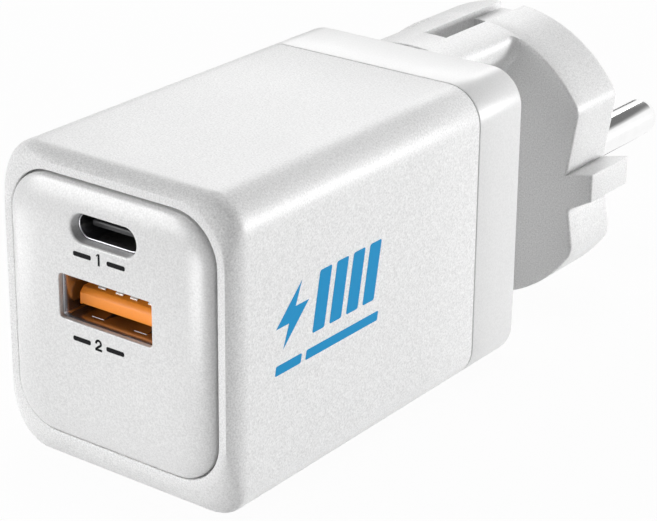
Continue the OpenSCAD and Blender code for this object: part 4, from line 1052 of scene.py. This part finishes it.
def dark_card(name, centre, away, distance, width, height):
    """A dark card that shows only in mirrored surfaces: a flat oblong at a distance from a point, facing it."""
    away = away.normalized()
    across = away.cross(Vector((0, 0, 1))).normalized()
    up = across.cross(away)
    middle = centre + distance * away
    corners = [tuple(middle + across * (width / 2 * i) + up * (height / 2 * j))
               for i, j in ((-1, -1), (1, -1), (1, 1), (-1, 1))]
    material, tree = new_material(name)
    shader = tree.nodes["Principled BSDF"]
    shader.inputs["Base Color"].default_value = (0.22, 0.22, 0.22, 1)
    shader.inputs["Roughness"].default_value = 0.8
    card = stage_sheet(name, corners, material)
    card.visible_camera = card.visible_diffuse = card.visible_shadow = card.visible_transmission = False


def floor_material(white):
    """White where it is seen or mirrored, with a faint shadow, and a plain pale surface for all other rays."""
    material, tree = new_material("floor_white")
    tree.nodes.remove(tree.nodes["Principled BSDF"])
    shadow = add_node(tree, "ShaderNodeBsdfDiffuse", {"Color": (0.8, 0.8, 0.8, 1)}).outputs[0]
    glow = add_node(tree, "ShaderNodeEmission", {"Color": white, "Strength": 1.0}).outputs[0]
    veil = add_node(tree, "ShaderNodeMixShader", {0: 0.04, 1: glow, 2: shadow}).outputs[0]
    mix = add_node(tree, "ShaderNodeMixShader", {0: direct_rays(tree), 1: shadow, 2: veil})
    tree.links.new(mix.outputs[0], tree.nodes["Material Output"].inputs["Surface"])
    return material


def surroundings(white, ambient):
    """A world that shows white, with a dim ceiling in mirrored rays, and lights by the ambient strength."""
    world = bpy.data.worlds.new("surroundings")
    world.use_nodes = True
    tree = world.node_tree
    tree.nodes.clear()
    way = add_node(tree, "ShaderNodeTexCoord").outputs["Generated"]
    height = add_node(tree, "ShaderNodeSeparateXYZ", {0: way}).outputs["Z"]
    ceiling = add_node(tree, "ShaderNodeMapRange", {"Value": height, "From Min": 0.36, "From Max": 0.5,
                                                    "To Min": 0.0, "To Max": 0.82}).outputs[0]
    mirrored = add_node(tree, "ShaderNodeLightPath").outputs["Is Glossy Ray"]
    level = calculate(tree, "SUBTRACT", 1.0, calculate(tree, "MULTIPLY", ceiling, mirrored))
    bright = add_node(tree, "ShaderNodeBackground", {"Color": white, "Strength": level}).outputs[0]
    soft = add_node(tree, "ShaderNodeBackground", {"Color": white, "Strength": ambient}).outputs[0]
    mix = add_node(tree, "ShaderNodeMixShader", {0: direct_rays(tree), 1: soft, 2: bright}).outputs[0]
    add_node(tree, "ShaderNodeOutputWorld", {"Surface": mix})
    return world


class CHARGER_OT_stage(bpy.types.Operator):
    """Sets up the white floor, the surroundings, the lamps and the camera"""

    bl_idname = "charger.stage"
    bl_label = "Studio"

    def execute(self, context):
        scene = context.scene
        studio = scene.charger_studio
        white = (*scene.charger_colours.floor, 1)
        reach, floor_z = 4.0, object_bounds()[0][2] - 0.02 * MM
        stage_sheet("floor", [(x * reach, y * reach, floor_z) for x, y in ((-1, -1), (1, -1), (1, 1), (-1, 1))],
                    floor_material(white))
        scene.world = surroundings(white, studio.ambient)

        # Name, azimuth, elevation and brightness of the lamps that stand far off.
        target = (0, -43.52 * MM, 1.004 * MM)
        far = [("back_lamp", -145, 32, 6.0 * studio.key), ("top_lamp", 180, 89, 6.4 * studio.key),
               ("side_lamp", 125, 3, 21.5 * studio.side), ("low_front_lamp", -34, 6, 3.8 * studio.front),
               ("high_front_lamp", -45, 25, 5.6 * studio.front)]
        for name, azimuth, elevation, radiance in far:
            add_lamp(name, around(azimuth, elevation, 0.9), target, 0.5, 0.3, radiance)
        add_lamp("near_strip", (5 * MM, -122 * MM, -7 * MM), (10 * MM, -78 * MM, 0), 18 * MM, 20 * MM,
                 5.6 * studio.front)
        add_lamp("left_strip", (-54 * MM, -100 * MM, -13 * MM), (-12 * MM, -78 * MM, 0), 34 * MM, 16 * MM,
                 1.9 * studio.front)

        pin_low, pin_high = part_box("pin_right")
        pins = Vector((0, (pin_low[1] + pin_high[1]) / 2, (pin_low[2] + pin_high[2]) / 2))
        dark_card("dark_card_left", pins, Vector((-0.63, 0.77, 0.03)), 0.25, 0.10, 0.06)
        dark_card("dark_card_low", pins, Vector((-0.47, 0.72, -0.51)), 0.026, 0.034, 0.010)

        data = bpy.data.cameras.new("camera")
        data.sensor_width = 36
        data.lens = studio.lens
        data.shift_x, data.shift_y = studio.shift_x, studio.shift_y
        data.clip_start, data.clip_end = 0.01, 20
        camera = bpy.data.objects.new("camera", data)
        scene.collection.objects.link(camera)
        away = around(math.degrees(studio.azimuth), math.degrees(studio.elevation), studio.distance)
        aim(camera, Vector(target) + away, target, studio.roll)
        scene.camera = camera
        scene.view_settings.view_transform = "Standard"
        return {"FINISHED"}


class CHARGER_PT_panel(bpy.types.Panel):
    """Lists the charger's pieces and settings"""

    bl_idname = "CHARGER_PT_panel"
    bl_label = "Wall charger"
    bl_space_type = "VIEW_3D"
    bl_region_type = "UI"
    bl_category = "Charger"

    def draw(self, context):
        column = self.layout.column()
        for step in STEPS:
            column.operator(step.bl_idname)
        for setting in SETTINGS:
            group = getattr(context.scene, setting)
            for key in group.bl_rna.properties.keys():
                if key not in ("rna_type", "name"):
                    column.prop(group, key)


STEPS = (CHARGER_OT_finishes, CHARGER_OT_sleeve, CHARGER_OT_panel, CHARGER_OT_cap, CHARGER_OT_plug,
         CHARGER_OT_ports, CHARGER_OT_marks, CHARGER_OT_stage)
SETTINGS = {"charger_sizes": ChargerSizes, "charger_colours": ChargerColours, "charger_studio": ChargerStudio}
CLASSES = (*SETTINGS.values(), *STEPS, CHARGER_PT_panel)


def register():
    """Registers the classes and hangs the settings on the scene."""
    for item in CLASSES:
        bpy.utils.register_class(item)
    for key, group in SETTINGS.items():
        setattr(bpy.types.Scene, key, PointerProperty(type=group))


def unregister():
    """Takes the settings and the classes away again."""
    for key in SETTINGS:
        delattr(bpy.types.Scene, key)
    for item in reversed(CLASSES):
        bpy.utils.unregister_class(item)


def main():
    """Builds every piece in order."""
    register()
    bpy.ops.charger.finishes()
    bpy.ops.charger.sleeve()
    bpy.ops.charger.panel()
    bpy.ops.charger.cap()
    bpy.ops.charger.plug()
    bpy.ops.charger.ports()
    bpy.ops.charger.marks()
    bpy.ops.charger.stage()


if __name__ == "__main__":
    main()
